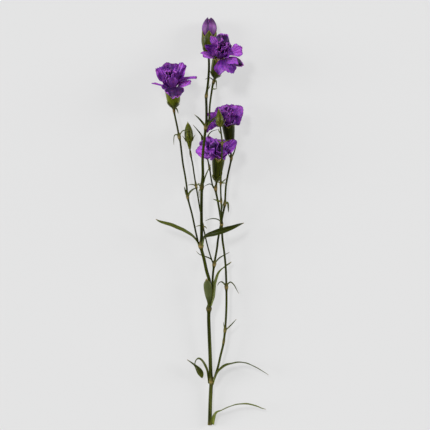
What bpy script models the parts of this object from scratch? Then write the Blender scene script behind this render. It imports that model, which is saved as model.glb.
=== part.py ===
"""Mini carnation stem, cut and lying on its side.

The stem lies along +Y with its foot at -Y, and the surface it lies on is z = 0. Lengths below are in
millimetres and become metres when a mesh is made.
"""
import math
from typing import NamedTuple

import bpy
from mathutils import Matrix, Vector

MM = 0.001

# Thin sheets
PETAL_THICKNESS = 0.7
LEAF_THICKNESS = 0.8
SMALL_LEAF_THICKNESS = 0.7
PETAL_ROWS = 4
PETAL_COLUMNS = 4
CLAW_SHARE = 0.22  # width of a petal's claw, as a share of its blade
CLAW_LEAN = 12.0  # degrees from the bloom's axis at which each claw leaves the throat
OUTER_SHIFT = 2.2  # petals that lean far out start this much nearer the calyx's rim
RUFFLE = 0.09  # height of a petal's ruffle, as a share of its width
LEAF_SPACING = 7.0
SMALL_LEAF_SPACING = 6.5

# Round parts
STEM_SIDES = 8
STALK_SIDES = 6
CALYX_SIDES = 10  # of a calyx, a bud and a core: two to a tooth
RING_SPACING = 13.0
SEAT = 0.35  # clearance between pieces that touch
CALYX_WALL = 0.9
MOUTH_DEPTH = 4.0  # depth of a calyx's hollow mouth, where the petals' core sits
CHANNEL = 0.16  # depth of the channel along a leaf, as a share of its width
BUD_RIB = 0.04  # height of a bud's ribs, as a share of its radius
SHARP_EDGE = math.radians(50)

# Scales round the foot of a calyx: height, gap to the calyx, width
CALYX_BRACT_ROWS = ((0.8, -0.9, 2.2), (3.6, 0.4, 4.4), (8.6, 1.2, 1.0))
CALYX_BRACT_TURNS = (35, 125, 215, 305)

# Scales round the foot of a bud, in the same order
BUD_BRACT_ROWS = ((-0.6, -1.2, 1.6), (1.6, 0.4, 2.4), (3.6, 1.6, 1.8), (6.2, 3.0, 0.8))
BUD_BRACT_TURNS = (80, 260)

COLOURS = {
    "stem": ("#4A5A22", 0.55),
    "leaf": ("#566B33", 0.6),
    "calyx": ("#47571F", 0.5),
    "bud": ("#5A6B2A", 0.55),
    "petal": ("#6B2F8F", 0.7),
    "bud petal": ("#8E4FA5", 0.7),
}

# The places on the plant that several pieces share
CUT = (-0.6, -215.0, 2.2)
JOINT_A = (1.2, -169.0, 5.4)
JOINT_C = (-1.5, -92.4, 10.6)
JOINT_D = (-9.9, -26.0, 16.0)
JOINT_I = (-8.9, 35.6, 23.5)
JOINT_J = (-4.8, 97.7, 29.0)
JOINT_B = (15.4, -115.0, 9.8)
JOINT_G = (16.9, -69.6, 9.8)
JOINT_F = (11.8, -3.0, 11.0)
JOINT_K = (5.5, 34.0, 8.8)
JOINT_E = (4.0, -45.6, 9.6)
JOINT_N = (15.2, 18.0, 6.0)
JOINT_H = (-23.7, 25.2, 17.0)
JOINT_L = (-14.9, 36.8, 13.0)
JOINT_P = (-7.7, -5.5, 12.3)
JOINT_M = (11.4, 20.7, 20.0)
LEFT_BLOOM_FOOT = (-38.3, 119.2, 12.3)
TOP_BLOOM_FOOT = (4.8, 151.2, 12.0)
UPPER_RIGHT_BLOOM_FOOT = (21.2, 76.8, 6.1)
LOWER_BLOOM_FOOT = (6.5, 42.3, 9.4)
TOP_BUD_FOOT = (-1.8, 174.2, 9.5)
LEFT_BUD_FOOT = (-21.6, 76.4, 12.0)
RIGHT_BUD_FOOT = (10.4, 97.9, 41.0)


class Leaf(NamedTuple):
    """A leaf blade: its midline, its widest width, and the way its upper face looks at foot and tip."""

    route: list
    width: float
    face: tuple = (0, 0, 1)
    tip_face: tuple = (0, 0, 1)


class Stalk(NamedTuple):
    """A round stalk: its centre line, radius at foot and top, and its joints as (place, extra radius)."""

    route: list
    foot_radius: float
    top_radius: float
    joints: list = []
    leaves: list = []
    sides: int = STALK_SIDES


class Petal(NamedTuple):
    """A petal, in degrees and millimetres.

    turn: direction round the bloom, 0 to the front and 90 to the right
    lean: angle of the blade from the bloom's axis
    reach: length from the throat to the frilled edge
    width: across the widest part of the blade
    roll: turn of the blade about its own midline
    curl: further bend towards the edge
    cup: how much the sides rise, in degrees per mm of width
    root, rise: where its claw starts, from the bloom's axis and above the calyx's mouth
    spread: share of the reach at which it has its full width
    waist: how long it stays narrow before that: 1 for a fan, 2 for a spoon
    point: how far the corners of its edge fall back, as a share of its reach
    """

    turn: float
    lean: float
    reach: float
    width: float
    roll: float = 0
    curl: float = 10
    cup: float = 2
    root: float = 2.5
    rise: float = 3.0
    spread: float = 0.7
    waist: float = 1.0
    point: float = 0.28


class Bloom(NamedTuple):
    """A flower head: the foot of its calyx, the way it faces, and the calyx's profile and petals."""

    foot: tuple
    axis: tuple
    calyx: list
    tooth: float
    core: tuple
    petals: list
    colour: str = "petal"


MAIN_STEM = Stalk(
    route=[
        CUT, (-0.1, -192.7, 3.7), (0.7, -174.5, 4.9), JOINT_A, (0.4, -160.0, 6.2), (-0.2, -141.8, 7.3),
        (-1.7, -103.4, 9.9), JOINT_C, (-0.9, -82.4, 11.4), (-0.6, -64.6, 12.9), (-4.0, -51.6, 13.8),
        (-6.8, -38.5, 14.8), JOINT_D, (-9.2, -16.0, 17.2), (-9.2, -2.6, 19.0), (-9.3, 12.7, 20.8), JOINT_I,
        (-7.8, 48.8, 25.3), (-8.0, 65.6, 27.2), (-6.8, 80.3, 28.5), JOINT_J, (-4.0, 106.0, 28.9),
        (-4.0, 118.0, 27.2), (-4.2, 130.7, 23.5), (-2.6, 143.3, 18.5), (-1.6, 156.7, 13.5), (-1.4, 167.0, 10.6),
        TOP_BUD_FOOT,
    ],
    foot_radius=2.1,
    top_radius=1.2,
    joints=[(CUT, 0.2), (JOINT_A, 1.1), (JOINT_C, 1.2), (JOINT_D, 1.3), (JOINT_I, 0.9), (JOINT_J, 0.7),
            ((-4.2, 130.7, 23.5), 0.5)],
    leaves=[
        Leaf([JOINT_I, (-6.8, 41.0, 24.5), (-5.9, 44.6, 25.6), (-2.5, 53.0, 28.0), (0.7, 59.5, 29.5)], 2.4,
             (-0.6, 0.3, 0.7), (-0.6, 0.3, 0.7)),
        Leaf([JOINT_I, (-11.8, 38.3, 23.2), (-13.2, 40.6, 23.0)], 1.6),
        Leaf([JOINT_I, (-11.6, 32.0, 22.4), (-11.4, 24.4, 21.0)], 1.6, (-1, 0, 0.6), (-1, 0, 0.6)),
        Leaf([JOINT_J, (-7.2, 101.9, 29.5), (-11.5, 107.0, 30.6), (-16.5, 111.5, 31.2)], 2.2),
        Leaf([JOINT_J, (-2.4, 101.2, 30.4), (2.5, 106.0, 32.0), (8.0, 110.4, 33.0)], 2.6),
        Leaf([(-3.3, 137.0, 21.0), (-1.2, 140.0, 21.6), (0.1, 143.6, 21.6)], 1.3),
    ],
    sides=STEM_SIDES,
)

LOWER_BLOOM_STALK = Stalk(
    route=[
        (4.4, -164.6, 6.6), (6.0, -159.8, 7.3), (8.4, -151.7, 8.0), (10.8, -140.9, 8.6), (13.5, -129.7, 9.2),
        JOINT_B, (16.8, -92.9, 9.8), JOINT_G, (16.1, -47.6, 10.3), (14.5, -31.5, 10.7), (12.8, -19.4, 11.0),
        JOINT_F, (10.8, 3.6, 10.9), (9.6, 11.6, 10.3), (7.6, 22.7, 9.3), JOINT_K, (6.1, 38.4, 8.0), LOWER_BLOOM_FOOT,
    ],
    foot_radius=1.2,
    top_radius=1.1,
    joints=[((13.5, -127.0, 9.3), 0.3), (JOINT_B, 0.6), (JOINT_G, 0.9), (JOINT_F, 0.8), (JOINT_K, 0.8)],
    leaves=[
        Leaf([JOINT_B, (14.4, -110.0, 10.6), (13.7, -105.5, 11.0)], 1.5, (-1, 0, 0.5), (-1, 0, 0.5)),
        Leaf([JOINT_B, (18.0, -112.5, 10.6), (23.0, -107.5, 11.2), (27.6, -102.4, 11.4)], 1.4),
        Leaf([JOINT_G, (14.6, -65.6, 10.6), (11.7, -63.4, 11.0), (8.9, -64.8, 10.6), (7.5, -67.6, 10.0)], 1.7,
             (0, 0.6, 0.8), (-0.6, 0.3, 0.8)),
        Leaf([JOINT_G, (18.8, -65.4, 10.8), (21.3, -63.8, 11.2), (24.9, -66.9, 11.0), (27.7, -72.0, 9.8),
              (30.1, -76.1, 8.7)], 1.6, (0, 0.6, 0.8), (0.6, 0.3, 0.8)),
        Leaf([JOINT_F, (10.4, 0.2, 12.4), (7.6, 2.2, 12.9), (3.2, 3.0, 13.0), (-1.3, 2.3, 12.8), (-5.4, 0.4, 12.4)],
             1.5, (0, 0.6, 0.8), (0, 0.6, 0.8)),
    ],
)

RIGHT_BLOOM_STALK = Stalk(
    route=[
        (1.9, -73.5, 10.6), (2.2, -65.6, 10.6), (2.8, -55.5, 10.3), JOINT_E, (6.8, -29.5, 8.7), (8.2, -18.4, 7.9),
        (11.2, -2.6, 6.8), (13.0, 6.7, 6.3), JOINT_N, (16.4, 36.8, 5.2), (18.4, 48.8, 4.8), (22.1, 66.4, 4.6),
        (21.8, 70.6, 4.5), (21.4, 74.1, 5.1), UPPER_RIGHT_BLOOM_FOOT,
    ],
    foot_radius=1.2,
    top_radius=1.0,
    joints=[(JOINT_E, 1.0), (JOINT_N, 0.7), ((22.1, 66.4, 4.6), 0.6)],
    leaves=[
        Leaf([JOINT_E, (7.0, -41.0, 9.4), (9.4, -38.5, 8.8), (13.7, -35.9, 7.4), (20.5, -32.2, 6.8)], 1.6),
        Leaf([JOINT_N, (17.7, 19.8, 6.8), (18.7, 16.0, 6.6), (19.2, 9.5, 5.6)], 2.4, (0.5, 0, 0.9), (0.5, 0, 0.9)),
        Leaf([(14.7, 18.6, 6.4), (13.2, 17.8, 6.8), (12.8, 12.4, 6.2)], 1.5, (-1, 0, 0.5), (-1, 0, 0.5)),
        Leaf([(22.1, 66.4, 4.6), (25.0, 73.0, 5.4), (27.2, 79.5, 6.4)], 1.7),
        Leaf([(22.1, 66.4, 4.6), (19.8, 69.4, 5.8), (18.8, 72.0, 6.4)], 1.5),
    ],
)

LEFT_BLOOM_STALK = Stalk(
    route=[
        (-12.6, -22.6, 16.6), (-13.6, -18.0, 16.9), (-15.3, -10.8, 17.2), (-19.1, 7.2, 17.3), JOINT_H,
        (-24.8, 36.8, 16.9), (-26.6, 48.8, 16.3), (-28.8, 61.0, 15.6), (-31.5, 83.4, 14.3), (-32.6, 88.4, 14.0),
        (-34.9, 100.1, 12.8), (-37.4, 111.8, 11.4), (-38.2, 116.4, 11.4), LEFT_BLOOM_FOOT,
    ],
    foot_radius=0.95,
    top_radius=1.0,
    joints=[(JOINT_H, 0.7), ((-32.6, 88.4, 14.0), 0.9), ((-38.2, 116.4, 11.4), 0.5)],
    leaves=[
        Leaf([JOINT_H, (-25.4, 29.5, 17.8), (-27.4, 36.8, 18.6)], 2.4, (0.4, 0, 0.9), (0.4, 0, 0.9)),
        Leaf([JOINT_H, (-21.9, 29.8, 18.2), (-19.5, 32.6, 18.8), (-15.8, 34.6, 19.0), (-12.3, 35.4, 18.6)], 2.3,
             (0, 0.6, 0.8), (0, 0.6, 0.8)),
        Leaf([(-32.6, 88.4, 14.0), (-34.6, 90.8, 14.8), (-37.2, 90.6, 15.2), (-38.2, 87.0, 15.2),
              (-38.3, 80.5, 14.6)], 1.6, (-0.3, 0.6, 0.8), (-1, 0, 0.6)),
        Leaf([(-32.6, 88.4, 14.0), (-31.2, 92.2, 15.8), (-28.6, 95.0, 17.8), (-24.2, 96.0, 18.6),
              (-20.2, 95.4, 18.6)], 1.6, (0, 0.6, 0.8), (0, 0.6, 0.8)),
        Leaf([(-37.9, 115.6, 11.6), (-35.6, 115.4, 12.4), (-34.5, 112.2, 12.6)], 1.6, (1, 0, 0.8), (1, 0, 0.8)),
    ],
)

LEFT_BUD_STALK = Stalk(
    route=[
        (2.15, -42.2, 10.1), (-1.3, -31.5, 10.6), (-4.0, -21.4, 11.2), (-6.1, -12.1, 11.9), JOINT_P,
        (-9.2, 4.7, 12.7), (-10.9, 12.7, 12.9), (-12.5, 22.7, 13.0), JOINT_L, (-16.9, 48.8, 12.8),
        (-18.5, 59.6, 12.5), (-20.6, 70.0, 12.1), LEFT_BUD_FOOT,
    ],
    foot_radius=0.75,
    top_radius=0.8,
    joints=[(JOINT_P, 0.6), (JOINT_L, 0.7), ((-20.6, 70.0, 12.1), 0.4)],
    leaves=[
        Leaf([(1.0, -40.0, 10.3), (-3.3, -37.7, 10.2), (-11.2, -34.7, 9.9), (-14.9, -31.3, 9.9)], 1.7,
             (0, 0.6, 0.8), (0, 0.6, 0.8)),
        Leaf([JOINT_P, (-11.0, -4.4, 12.6), (-15.3, -5.3, 12.4)], 1.4, (0, 0.6, 0.8), (0, 0.6, 0.8)),
        Leaf([JOINT_P, (-5.4, -5.6, 12.6), (-3.7, -7.5, 12.4)], 1.4, (0, 0.6, 0.8), (0, 0.6, 0.8)),
        Leaf([JOINT_L, (-18.5, 38.8, 13.4), (-23.7, 38.2, 13.2)], 1.4, (0, 0.6, 0.8), (0, 0.6, 0.8)),
        Leaf([JOINT_L, (-13.0, 38.9, 13.6), (-10.7, 40.0, 13.8)], 1.4, (0, 0.6, 0.8), (0, 0.6, 0.8)),
    ],
)

RIGHT_BUD_STALK = Stalk(
    route=[
        (12.4, -0.9, 13.7), (12.0, 4.0, 15.0), (11.6, 12.7, 17.4), JOINT_M, (11.0, 28.0, 23.2),
        (10.8, 39.8, 28.5), (11.7, 55.9, 34.5), (12.0, 67.9, 37.6), (12.4, 81.0, 39.8), (11.4, 90.6, 40.8),
        RIGHT_BUD_FOOT,
    ],
    foot_radius=0.85,
    top_radius=0.8,
    joints=[(JOINT_M, 0.5), ((10.8, 39.8, 28.5), 0.5), ((12.4, 81.0, 39.8), 0.5)],
    leaves=[
        Leaf([JOINT_M, (7.5, 21.9, 21.2), (2.7, 23.5, 21.4)], 1.9),
        Leaf([(10.8, 39.8, 28.5), (13.7, 42.2, 29.8), (16.8, 45.0, 30.2)], 1.3),
        Leaf([(10.8, 39.8, 28.5), (14.0, 40.2, 29.2), (16.8, 39.7, 29.2)], 1.3),
        Leaf([(10.8, 39.8, 28.5), (8.8, 41.0, 29.4), (7.4, 40.6, 29.4)], 1.3),
        Leaf([(12.4, 81.0, 39.8), (9.0, 82.8, 40.8), (6.4, 84.4, 41.0)], 1.3),
        Leaf([(12.4, 81.0, 39.8), (16.0, 83.3, 40.6), (21.6, 84.9, 40.8)], 1.4),
        Leaf([(11.4, 90.6, 40.8), (9.2, 93.4, 41.6), (8.4, 96.4, 42.0)], 1.3),
    ],
)

TOP_BLOOM_STALK = Stalk(
    route=[
        (-1.5, 105.8, 30.7), (-0.9, 113.0, 29.8), (-0.5, 120.8, 27.4), (0.3, 127.9, 23.6), (1.4, 136.0, 17.8),
        (2.3, 142.2, 13.4), (3.3, 146.2, 11.0), (4.2, 148.8, 10.7), TOP_BLOOM_FOOT,
    ],
    foot_radius=0.9,
    top_radius=1.1,
    joints=[((3.3, 146.2, 11.0), 0.7)],
    leaves=[
        Leaf([(4.0, 148.0, 10.8), (6.2, 146.4, 12.6), (6.8, 139.6, 14.0)], 1.8, (1, 0, 0.7), (1, 0, 0.7)),
        Leaf([(3.4, 147.6, 10.8), (0.9, 150.4, 11.6), (-2.2, 151.0, 11.8), (-5.6, 149.2, 11.6)], 1.4,
             (0, 0.6, 0.8), (0, 0.6, 0.8)),
        Leaf([(1.8, 139.4, 16.8), (4.2, 138.8, 17.4), (7.1, 139.4, 17.2)], 1.4),
    ],
)

SIDE_SHOOT = Stalk(
    route=[
        (3.25, 35.7, 8.9), (1.4, 42.0, 9.6), (-0.8, 55.9, 10.4), (-2.8, 65.6, 9.6), (-4.5, 76.0, 8.8),
        (-5.8, 84.0, 8.6), (-6.3, 90.0, 9.0),
    ],
    foot_radius=0.8,
    top_radius=0.7,
    joints=[((-0.8, 55.9, 10.4), 0.5), ((-4.9, 78.0, 8.7), 0.7)],
    leaves=[
        Leaf([(2.1, 38.0, 9.2), (-0.6, 39.4, 9.8), (-3.7, 38.4, 9.8), (-6.3, 36.9, 9.4)], 1.4,
             (0, 0.6, 0.8), (0, 0.6, 0.8)),
        Leaf([(-5.8, 84.0, 8.6), (-10.2, 92.0, 10.0), (-18.4, 101.8, 12.4)], 2.0),
        Leaf([(-5.8, 84.0, 8.6), (-3.2, 89.0, 9.6), (1.0, 94.4, 9.6), (8.0, 97.0, 8.6)], 1.6,
             (-0.3, 0.6, 0.8), (0, 0.6, 0.8)),
        Leaf([(-4.9, 78.0, 8.7), (-8.4, 84.6, 10.2), (-9.6, 92.5, 11.2)], 2.6, (0.3, 0, 1), (0.3, 0, 1)),
        Leaf([(-4.9, 78.0, 8.7), (-2.6, 85.0, 10.0), (-1.4, 92.5, 10.6)], 2.4, (-0.3, 0, 1), (-0.3, 0, 1)),
    ],
)

LEAVES = {
    "cut_leaf": Leaf(
        [(3.1, -211.5, 4.4), (5.6, -204.4, 6.4), (9.6, -199.6, 8.2), (18.6, -195.3, 10.6), (28.1, -192.3, 12.0),
         (42.9, -191.5, 10.6), (52.0, -193.9, 8.0), (59.0, -198.2, 5.2)],
        4.0, (-1, 0.3, 0.4), (0.3, 0.7, 0.6)),
    "lower_left_leaf": Leaf(
        [(-2.9, -168.0, 6.6), (-3.6, -158.7, 8.6), (-6.0, -152.1, 11.0), (-9.3, -146.8, 13.0), (-12.4, -144.0, 14.0),
         (-15.2, -146.6, 13.4), (-15.4, -153.4, 11.2), (-12.4, -160.6, 8.2), (-8.6, -164.4, 5.4),
         (-8.2, -162.0, 3.2), (-14.0, -155.0, 3.0), (-24.4, -145.5, 5.4)],
        4.2, (1, 0.3, 0.5), (-0.3, -0.5, 0.8)),
    "lower_right_leaf": Leaf(
        [(5.6, -168.4, 5.0), (7.8, -163.5, 5.4), (9.6, -159.4, 6.2), (13.0, -154.4, 8.0), (17.8, -151.0, 9.8),
         (24.5, -149.0, 11.4), (32.0, -148.2, 12.0), (46.9, -152.4, 10.4), (61.2, -161.7, 6.0)],
        4.2, (-1, 0.3, 0.5), (0.2, 0.8, 0.5)),
    "short_leaf": Leaf(
        [(-2.8, -89.5, 13.6), (-3.2, -80.0, 15.0), (-3.5, -72.0, 16.1), (-3.7, -65.0, 16.8), (-4.1, -59.6, 17.0)],
        7.8, (0, 0, 1), (-0.2, 0, 1)),
    "middle_right_leaf": Leaf(
        [(2.3, -88.0, 12.8), (3.4, -80.0, 13.8), (4.8, -69.6, 14.4), (6.6, -62.0, 13.6), (9.2, -56.0, 11.6),
         (13.2, -51.2, 8.2), (17.2, -47.6, 6.6), (22.5, -43.2, 6.0)],
        4.0, (-0.8, 0, 0.8), (-0.2, 0.3, 0.9)),
    "upper_left_leaf": Leaf(
        [(-13.9, -26.4, 15.6), (-15.8, -20.6, 16.3), (-17.8, -16.8, 17.4), (-21.0, -14.0, 18.8), (-27.2, -10.2, 21.0),
         (-35.2, -6.2, 22.6), (-43.3, -3.2, 22.8), (-51.2, -1.2, 21.6), (-57.4, 2.4, 20.0)],
        4.8, (0.9, 0.3, 0.5), (0, 0.5, 0.85)),
    "upper_right_leaf": Leaf(
        [(-5.0, -25.2, 19.3), (-4.6, -19.0, 20.1), (-3.2, -15.0, 20.9), (2.2, -12.2, 22.4), (9.1, -11.0, 22.8),
         (20.7, -7.4, 20.6), (28.0, -4.6, 18.0), (35.0, -1.4, 15.4)],
        7.2, (-0.7, 0.3, 0.8), (0.1, 0.1, 1)),
}

# A calyx's outer profile as (height above its foot, radius), up to the notches between its teeth
SHORT_CALYX = [(0, 2.0), (2.0, 3.4), (6.5, 5.0), (13.0, 6.2), (19.0, 6.9), (22.0, 7.1)]
LONG_CALYX = [(0, 2.0), (2.0, 3.2), (7.0, 4.6), (14.0, 5.6), (21.0, 6.4), (25.0, 6.7)]
FLARED_CALYX = [(0, 2.2), (2.0, 3.6), (6.0, 5.4), (11.5, 6.4), (16.0, 7.4), (19.0, 8.4)]
BUD_CALYX = [(0, 2.2), (2.0, 3.8), (8.0, 6.3), (13.0, 7.8), (17.0, 8.3), (20.0, 8.0)]

BLOOMS = {
    "left_bloom": Bloom(
        foot=LEFT_BLOOM_FOOT, axis=(-0.05, 0.94, 0.34), calyx=FLARED_CALYX, tooth=3.0, core=(6.0, 8.0),
        petals=[
            Petal(10, 112, 21, 21, curl=14, cup=-3, rise=4.6, spread=0.36, point=0.72),
            Petal(266, 74, 20.5, 4.6, roll=-8, curl=0, cup=5),
            Petal(98, 57, 28.5, 9, roll=16, curl=54, cup=6, waist=1.4, point=0.7),
            Petal(90, 62, 19.5, 11, roll=34, curl=26, cup=6),
            Petal(186, 83, 19.5, 20, curl=6),
            Petal(330, 16, 18, 20, cup=6),
            Petal(98, 20, 30, 18, roll=50, cup=5, waist=1.7),
            Petal(160, 28, 29, 22, roll=8, cup=5),
            Petal(205, 22, 29, 21, roll=-20, cup=5),
            Petal(256, 35, 27.5, 11.5, roll=-60, curl=-4, cup=5, waist=2.6),
            Petal(240, 23, 27, 15, roll=-50, cup=4, waist=2.2),
        ]),
    "top_bloom": Bloom(
        foot=TOP_BLOOM_FOOT, axis=(0.2, 0.82, 0.53), calyx=SHORT_CALYX, tooth=2.6, core=(5.6, 7.0),
        petals=[
            Petal(33, 106, 24, 27, curl=5, cup=-2),
            Petal(297, 79, 21, 9, roll=-20, curl=4, cup=3),
            Petal(69, 78, 20.5, 11, roll=26, curl=4, cup=3),
            Petal(98, 61, 23.8, 14, roll=62, curl=-10, cup=3, spread=0.85, waist=3.0, point=0.14),
            Petal(105, 107, 26, 10, roll=50, curl=4),
            Petal(282, 38, 21, 12, roll=-72, curl=58, cup=3, spread=0.55, point=0.5),
            Petal(260, 26, 24.5, 10, roll=-44, curl=28, cup=9, waist=1.8, point=0.05),
            Petal(186, 36, 26.5, 16, roll=-8, cup=4, waist=1.4),
            Petal(156, 46, 19.5, 14, roll=22, cup=4),
            Petal(87, 25, 17, 14, roll=60, cup=6),
            Petal(168, 80, 21, 20, curl=4),
        ]),
    "upper_right_bloom": Bloom(
        foot=UPPER_RIGHT_BLOOM_FOOT, axis=(-0.09, 0.935, 0.34), calyx=LONG_CALYX, tooth=2.6, core=(5.6, 7.0),
        petals=[
            Petal(282, 68, 28, 12, roll=-40, curl=118),
            Petal(272, 54, 24, 13, roll=-76, curl=0),
            Petal(240, 26, 21, 18, roll=-50, curl=4),
            Petal(172, 36, 23, 22, roll=6, curl=4, cup=4),
            Petal(104, 38, 23.5, 16, roll=66, curl=4, cup=3, waist=1.3),
            Petal(78, 56, 15, 13, roll=70, curl=2),
            Petal(290, 49, 17, 16, roll=-80, curl=4),
            Petal(351, 60, 10, 19, curl=4, cup=3, spread=0.45),
            Petal(176, 76, 14.5, 20, curl=4),
            Petal(20, 22, 16, 18, cup=4),
        ]),
    "lower_bloom": Bloom(
        foot=LOWER_BLOOM_FOOT, axis=(0.08, 0.91, 0.405), calyx=LONG_CALYX, tooth=2.6, core=(5.6, 7.0),
        petals=[
            Petal(256, 80, 23, 14, roll=-64, curl=2),
            Petal(258, 84, 15.5, 11, roll=-60, curl=4),
            Petal(244, 60, 25.5, 13, roll=-56, curl=0),
            Petal(236, 40, 25, 13, roll=-50, curl=4, cup=4),
            Petal(177, 40, 21.5, 20, curl=4),
            Petal(108, 38, 25.5, 17, roll=56, curl=8, cup=8),
            Petal(60, 42, 13, 13, roll=60, curl=4),
            Petal(348, 44, 11, 20, curl=24, cup=3, spread=0.45),
            Petal(182, 80, 15, 17, curl=4),
            Petal(304, 52, 13, 14, roll=-66, curl=44),
        ]),
    "top_bud": Bloom(
        foot=TOP_BUD_FOOT, axis=(0.03, 1.0, -0.03), calyx=BUD_CALYX, tooth=5.0, core=(4.4, 8.0),
        petals=[
            Petal(turn, 27, 18.5, 14, roll=-8, curl=-74, cup=8, root=3.4, rise=0.5)
            for turn in (333, 47, 121, 193, 265)
        ],
        colour="bud petal"),
}

# Closed buds: foot, axis, profile as (height, radius)
BUD_PROFILE = [(0, 1.2), (3.0, 1.9), (7.0, 2.6), (9.0, 4.0), (14.0, 4.7), (19.0, 4.3), (24.0, 2.7), (28.0, 0.7)]
WIDE_BUD_PROFILE = [(0, 1.1), (1.5, 2.2), (5.0, 4.0), (8.0, 4.3), (11.5, 3.4), (15.0, 1.9), (19.0, 0.6)]
BUDS = {
    "left_bud": (LEFT_BUD_FOOT, (-0.075, 1.0, -0.03), BUD_PROFILE, 8.5),
    "right_bud": (RIGHT_BUD_FOOT, (-0.1, 1.0, -0.05), WIDE_BUD_PROFILE, 1.0),
}


def linear(hex_colour):
    """An sRGB hex colour as linear RGBA."""
    parts = [int(hex_colour[i:i + 2], 16) / 255 for i in (1, 3, 5)]
    return tuple(c / 12.92 if c <= 0.04045 else ((c + 0.055) / 1.055) ** 2.4 for c in parts) + (1.0,)


def make_materials():
    materials = {}
    for name, (colour, roughness) in COLOURS.items():
        material = bpy.data.materials.new(name)
        material.use_nodes = True
        shader = material.node_tree.nodes["Principled BSDF"]
        shader.inputs["Base Color"].default_value = linear(colour)
        shader.inputs["Roughness"].default_value = roughness
        shader.inputs["Metallic"].default_value = 0.0
        materials[name] = material
    return materials


def smooth_route(route, spacing):
    """Points on a smooth curve through all of the route's own points."""
    points = [Vector(p) for p in route]
    ends = [2 * points[0] - points[1]] + points + [2 * points[-1] - points[-2]]
    path = []
    for before, start, end, after in zip(ends, ends[1:], ends[2:], ends[3:]):
        steps = max(1, round((end - start).length / spacing))
        span = (end - start).length
        leave = (end - before).normalized() * span
        arrive = (after - start).normalized() * span
        for i in range(steps):
            t = i / steps
            path.append(
                start * (2 * t**3 - 3 * t**2 + 1) + leave * (t**3 - 2 * t**2 + t)
                + end * (3 * t**2 - 2 * t**3) + arrive * (t**3 - t**2))
    path.append(points[-1])
    return path


def along(path):
    """Distance of each point from the path's start."""
    lengths = [0.0]
    for a, b in zip(path, path[1:]):
        lengths.append(lengths[-1] + (b - a).length)
    return lengths


def tangents(path):
    ends = [path[0]] + path + [path[-1]]
    return [(after - before).normalized() for before, after in zip(ends, ends[2:])]


def new_object(name, points, faces, material, matrix=None):
    """An object from points in mm. matrix, also in mm, places it."""
    mesh = bpy.data.meshes.new(name)
    mesh.from_pydata([Vector(p) * MM for p in points], [], faces)
    mesh.validate()
    mesh.materials.append(material)
    mesh.shade_smooth()
    mesh.set_sharp_from_angle(angle=SHARP_EDGE)
    obj = bpy.data.objects.new(name, mesh)
    bpy.context.scene.collection.objects.link(obj)
    if matrix is not None:
        place, turn, _ = matrix.decompose()
        obj.location = place * MM
        obj.rotation_euler = turn.to_euler()
    return obj


def rings_to_faces(count, sides):
    """Quads between rings of points, and a fan to a centre point at each end."""
    faces = []
    for ring in range(count - 1):
        for side in range(sides):
            a = ring * sides + side
            b = ring * sides + (side + 1) % sides
            faces.append((a, b, b + sides, a + sides))
    foot, top = count * sides, count * sides + 1
    for side in range(sides):
        after = (side + 1) % sides
        faces.append((foot, after, side))
        faces.append((top, (count - 1) * sides + side, (count - 1) * sides + after))
    return faces


def stalk_path(stalk):
    """The stalk's ring centres and radii, with extra rings where a joint swells it."""
    path = smooth_route(stalk.route, RING_SPACING)
    for place, _ in stalk.joints:
        near = min(range(len(path)), key=lambda i: (path[i] - Vector(place)).length)
        rings = []
        for step, other in ((-1, near - 1), (1, near + 1)):
            if 0 <= other < len(path) and (path[other] - path[near]).length > 4.5:
                rings.append((step, path[near].lerp(path[other], 2.6 / (path[other] - path[near]).length)))
        for step, ring in sorted(rings, key=lambda r: -r[0]):
            path.insert(near + (step > 0), ring)
    length = along(path)
    radii = []
    for point, distance in zip(path, length):
        share = distance / length[-1]
        radius = stalk.foot_radius + (stalk.top_radius - stalk.foot_radius) * share
        for place, swelling in stalk.joints:
            radius += swelling * math.exp(-((point - Vector(place)).length / 2.6) ** 2)
        radii.append(radius)
    return path, radii


def make_stalk_body(name, stalk, material):
    path, radii = stalk_path(stalk)
    points = []
    side = Vector((1, 0, 0))
    for centre, forward, radius in zip(path, tangents(path), radii):
        side = (side - forward * side.dot(forward)).normalized()
        up = forward.cross(side)
        for k in range(stalk.sides):
            angle = 2 * math.pi * (k + 0.5) / stalk.sides
            points.append(centre + (side * math.cos(angle) + up * math.sin(angle)) * radius)
    points += [path[0], path[-1]]
    return new_object(name, points, rings_to_faces(len(path), stalk.sides), material)


def make_sheet(name, grid, thickness, material, matrix=None):
    """A closed thin sheet round a grid of points, with the same triangles on both faces."""
    rows, columns = len(grid), len(grid[0])
    top, under = [], []
    for i in range(rows):
        for j in range(columns):
            along_row = grid[i][min(j + 1, columns - 1)] - grid[i][max(j - 1, 0)]
            down = grid[min(i + 1, rows - 1)][j] - grid[max(i - 1, 0)][j]
            normal = down.cross(along_row).normalized() * thickness / 2
            top.append(grid[i][j] - normal)
            under.append(grid[i][j] + normal)
    size = rows * columns
    faces = []
    for i in range(rows - 1):
        for j in range(columns - 1):
            a = i * columns + j
            b, c, d = a + 1, a + columns + 1, a + columns
            for p, q, r in ((a, b, d), (b, c, d)) if (i + j) % 2 else ((a, b, c), (a, c, d)):
                faces.append((p, q, r))
                faces.append((size + r, size + q, size + p))
    edge = [j for j in range(columns)]
    edge += [i * columns + columns - 1 for i in range(1, rows)]
    edge += [(rows - 1) * columns + j for j in range(columns - 2, -1, -1)]
    edge += [i * columns for i in range(rows - 2, 0, -1)]
    for a, b in zip(edge, edge[1:] + edge[:1]):
        faces.append((b, a, size + a))
        faces.append((b, size + a, size + b))
    return new_object(name, top + under, faces, material, matrix)


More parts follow.
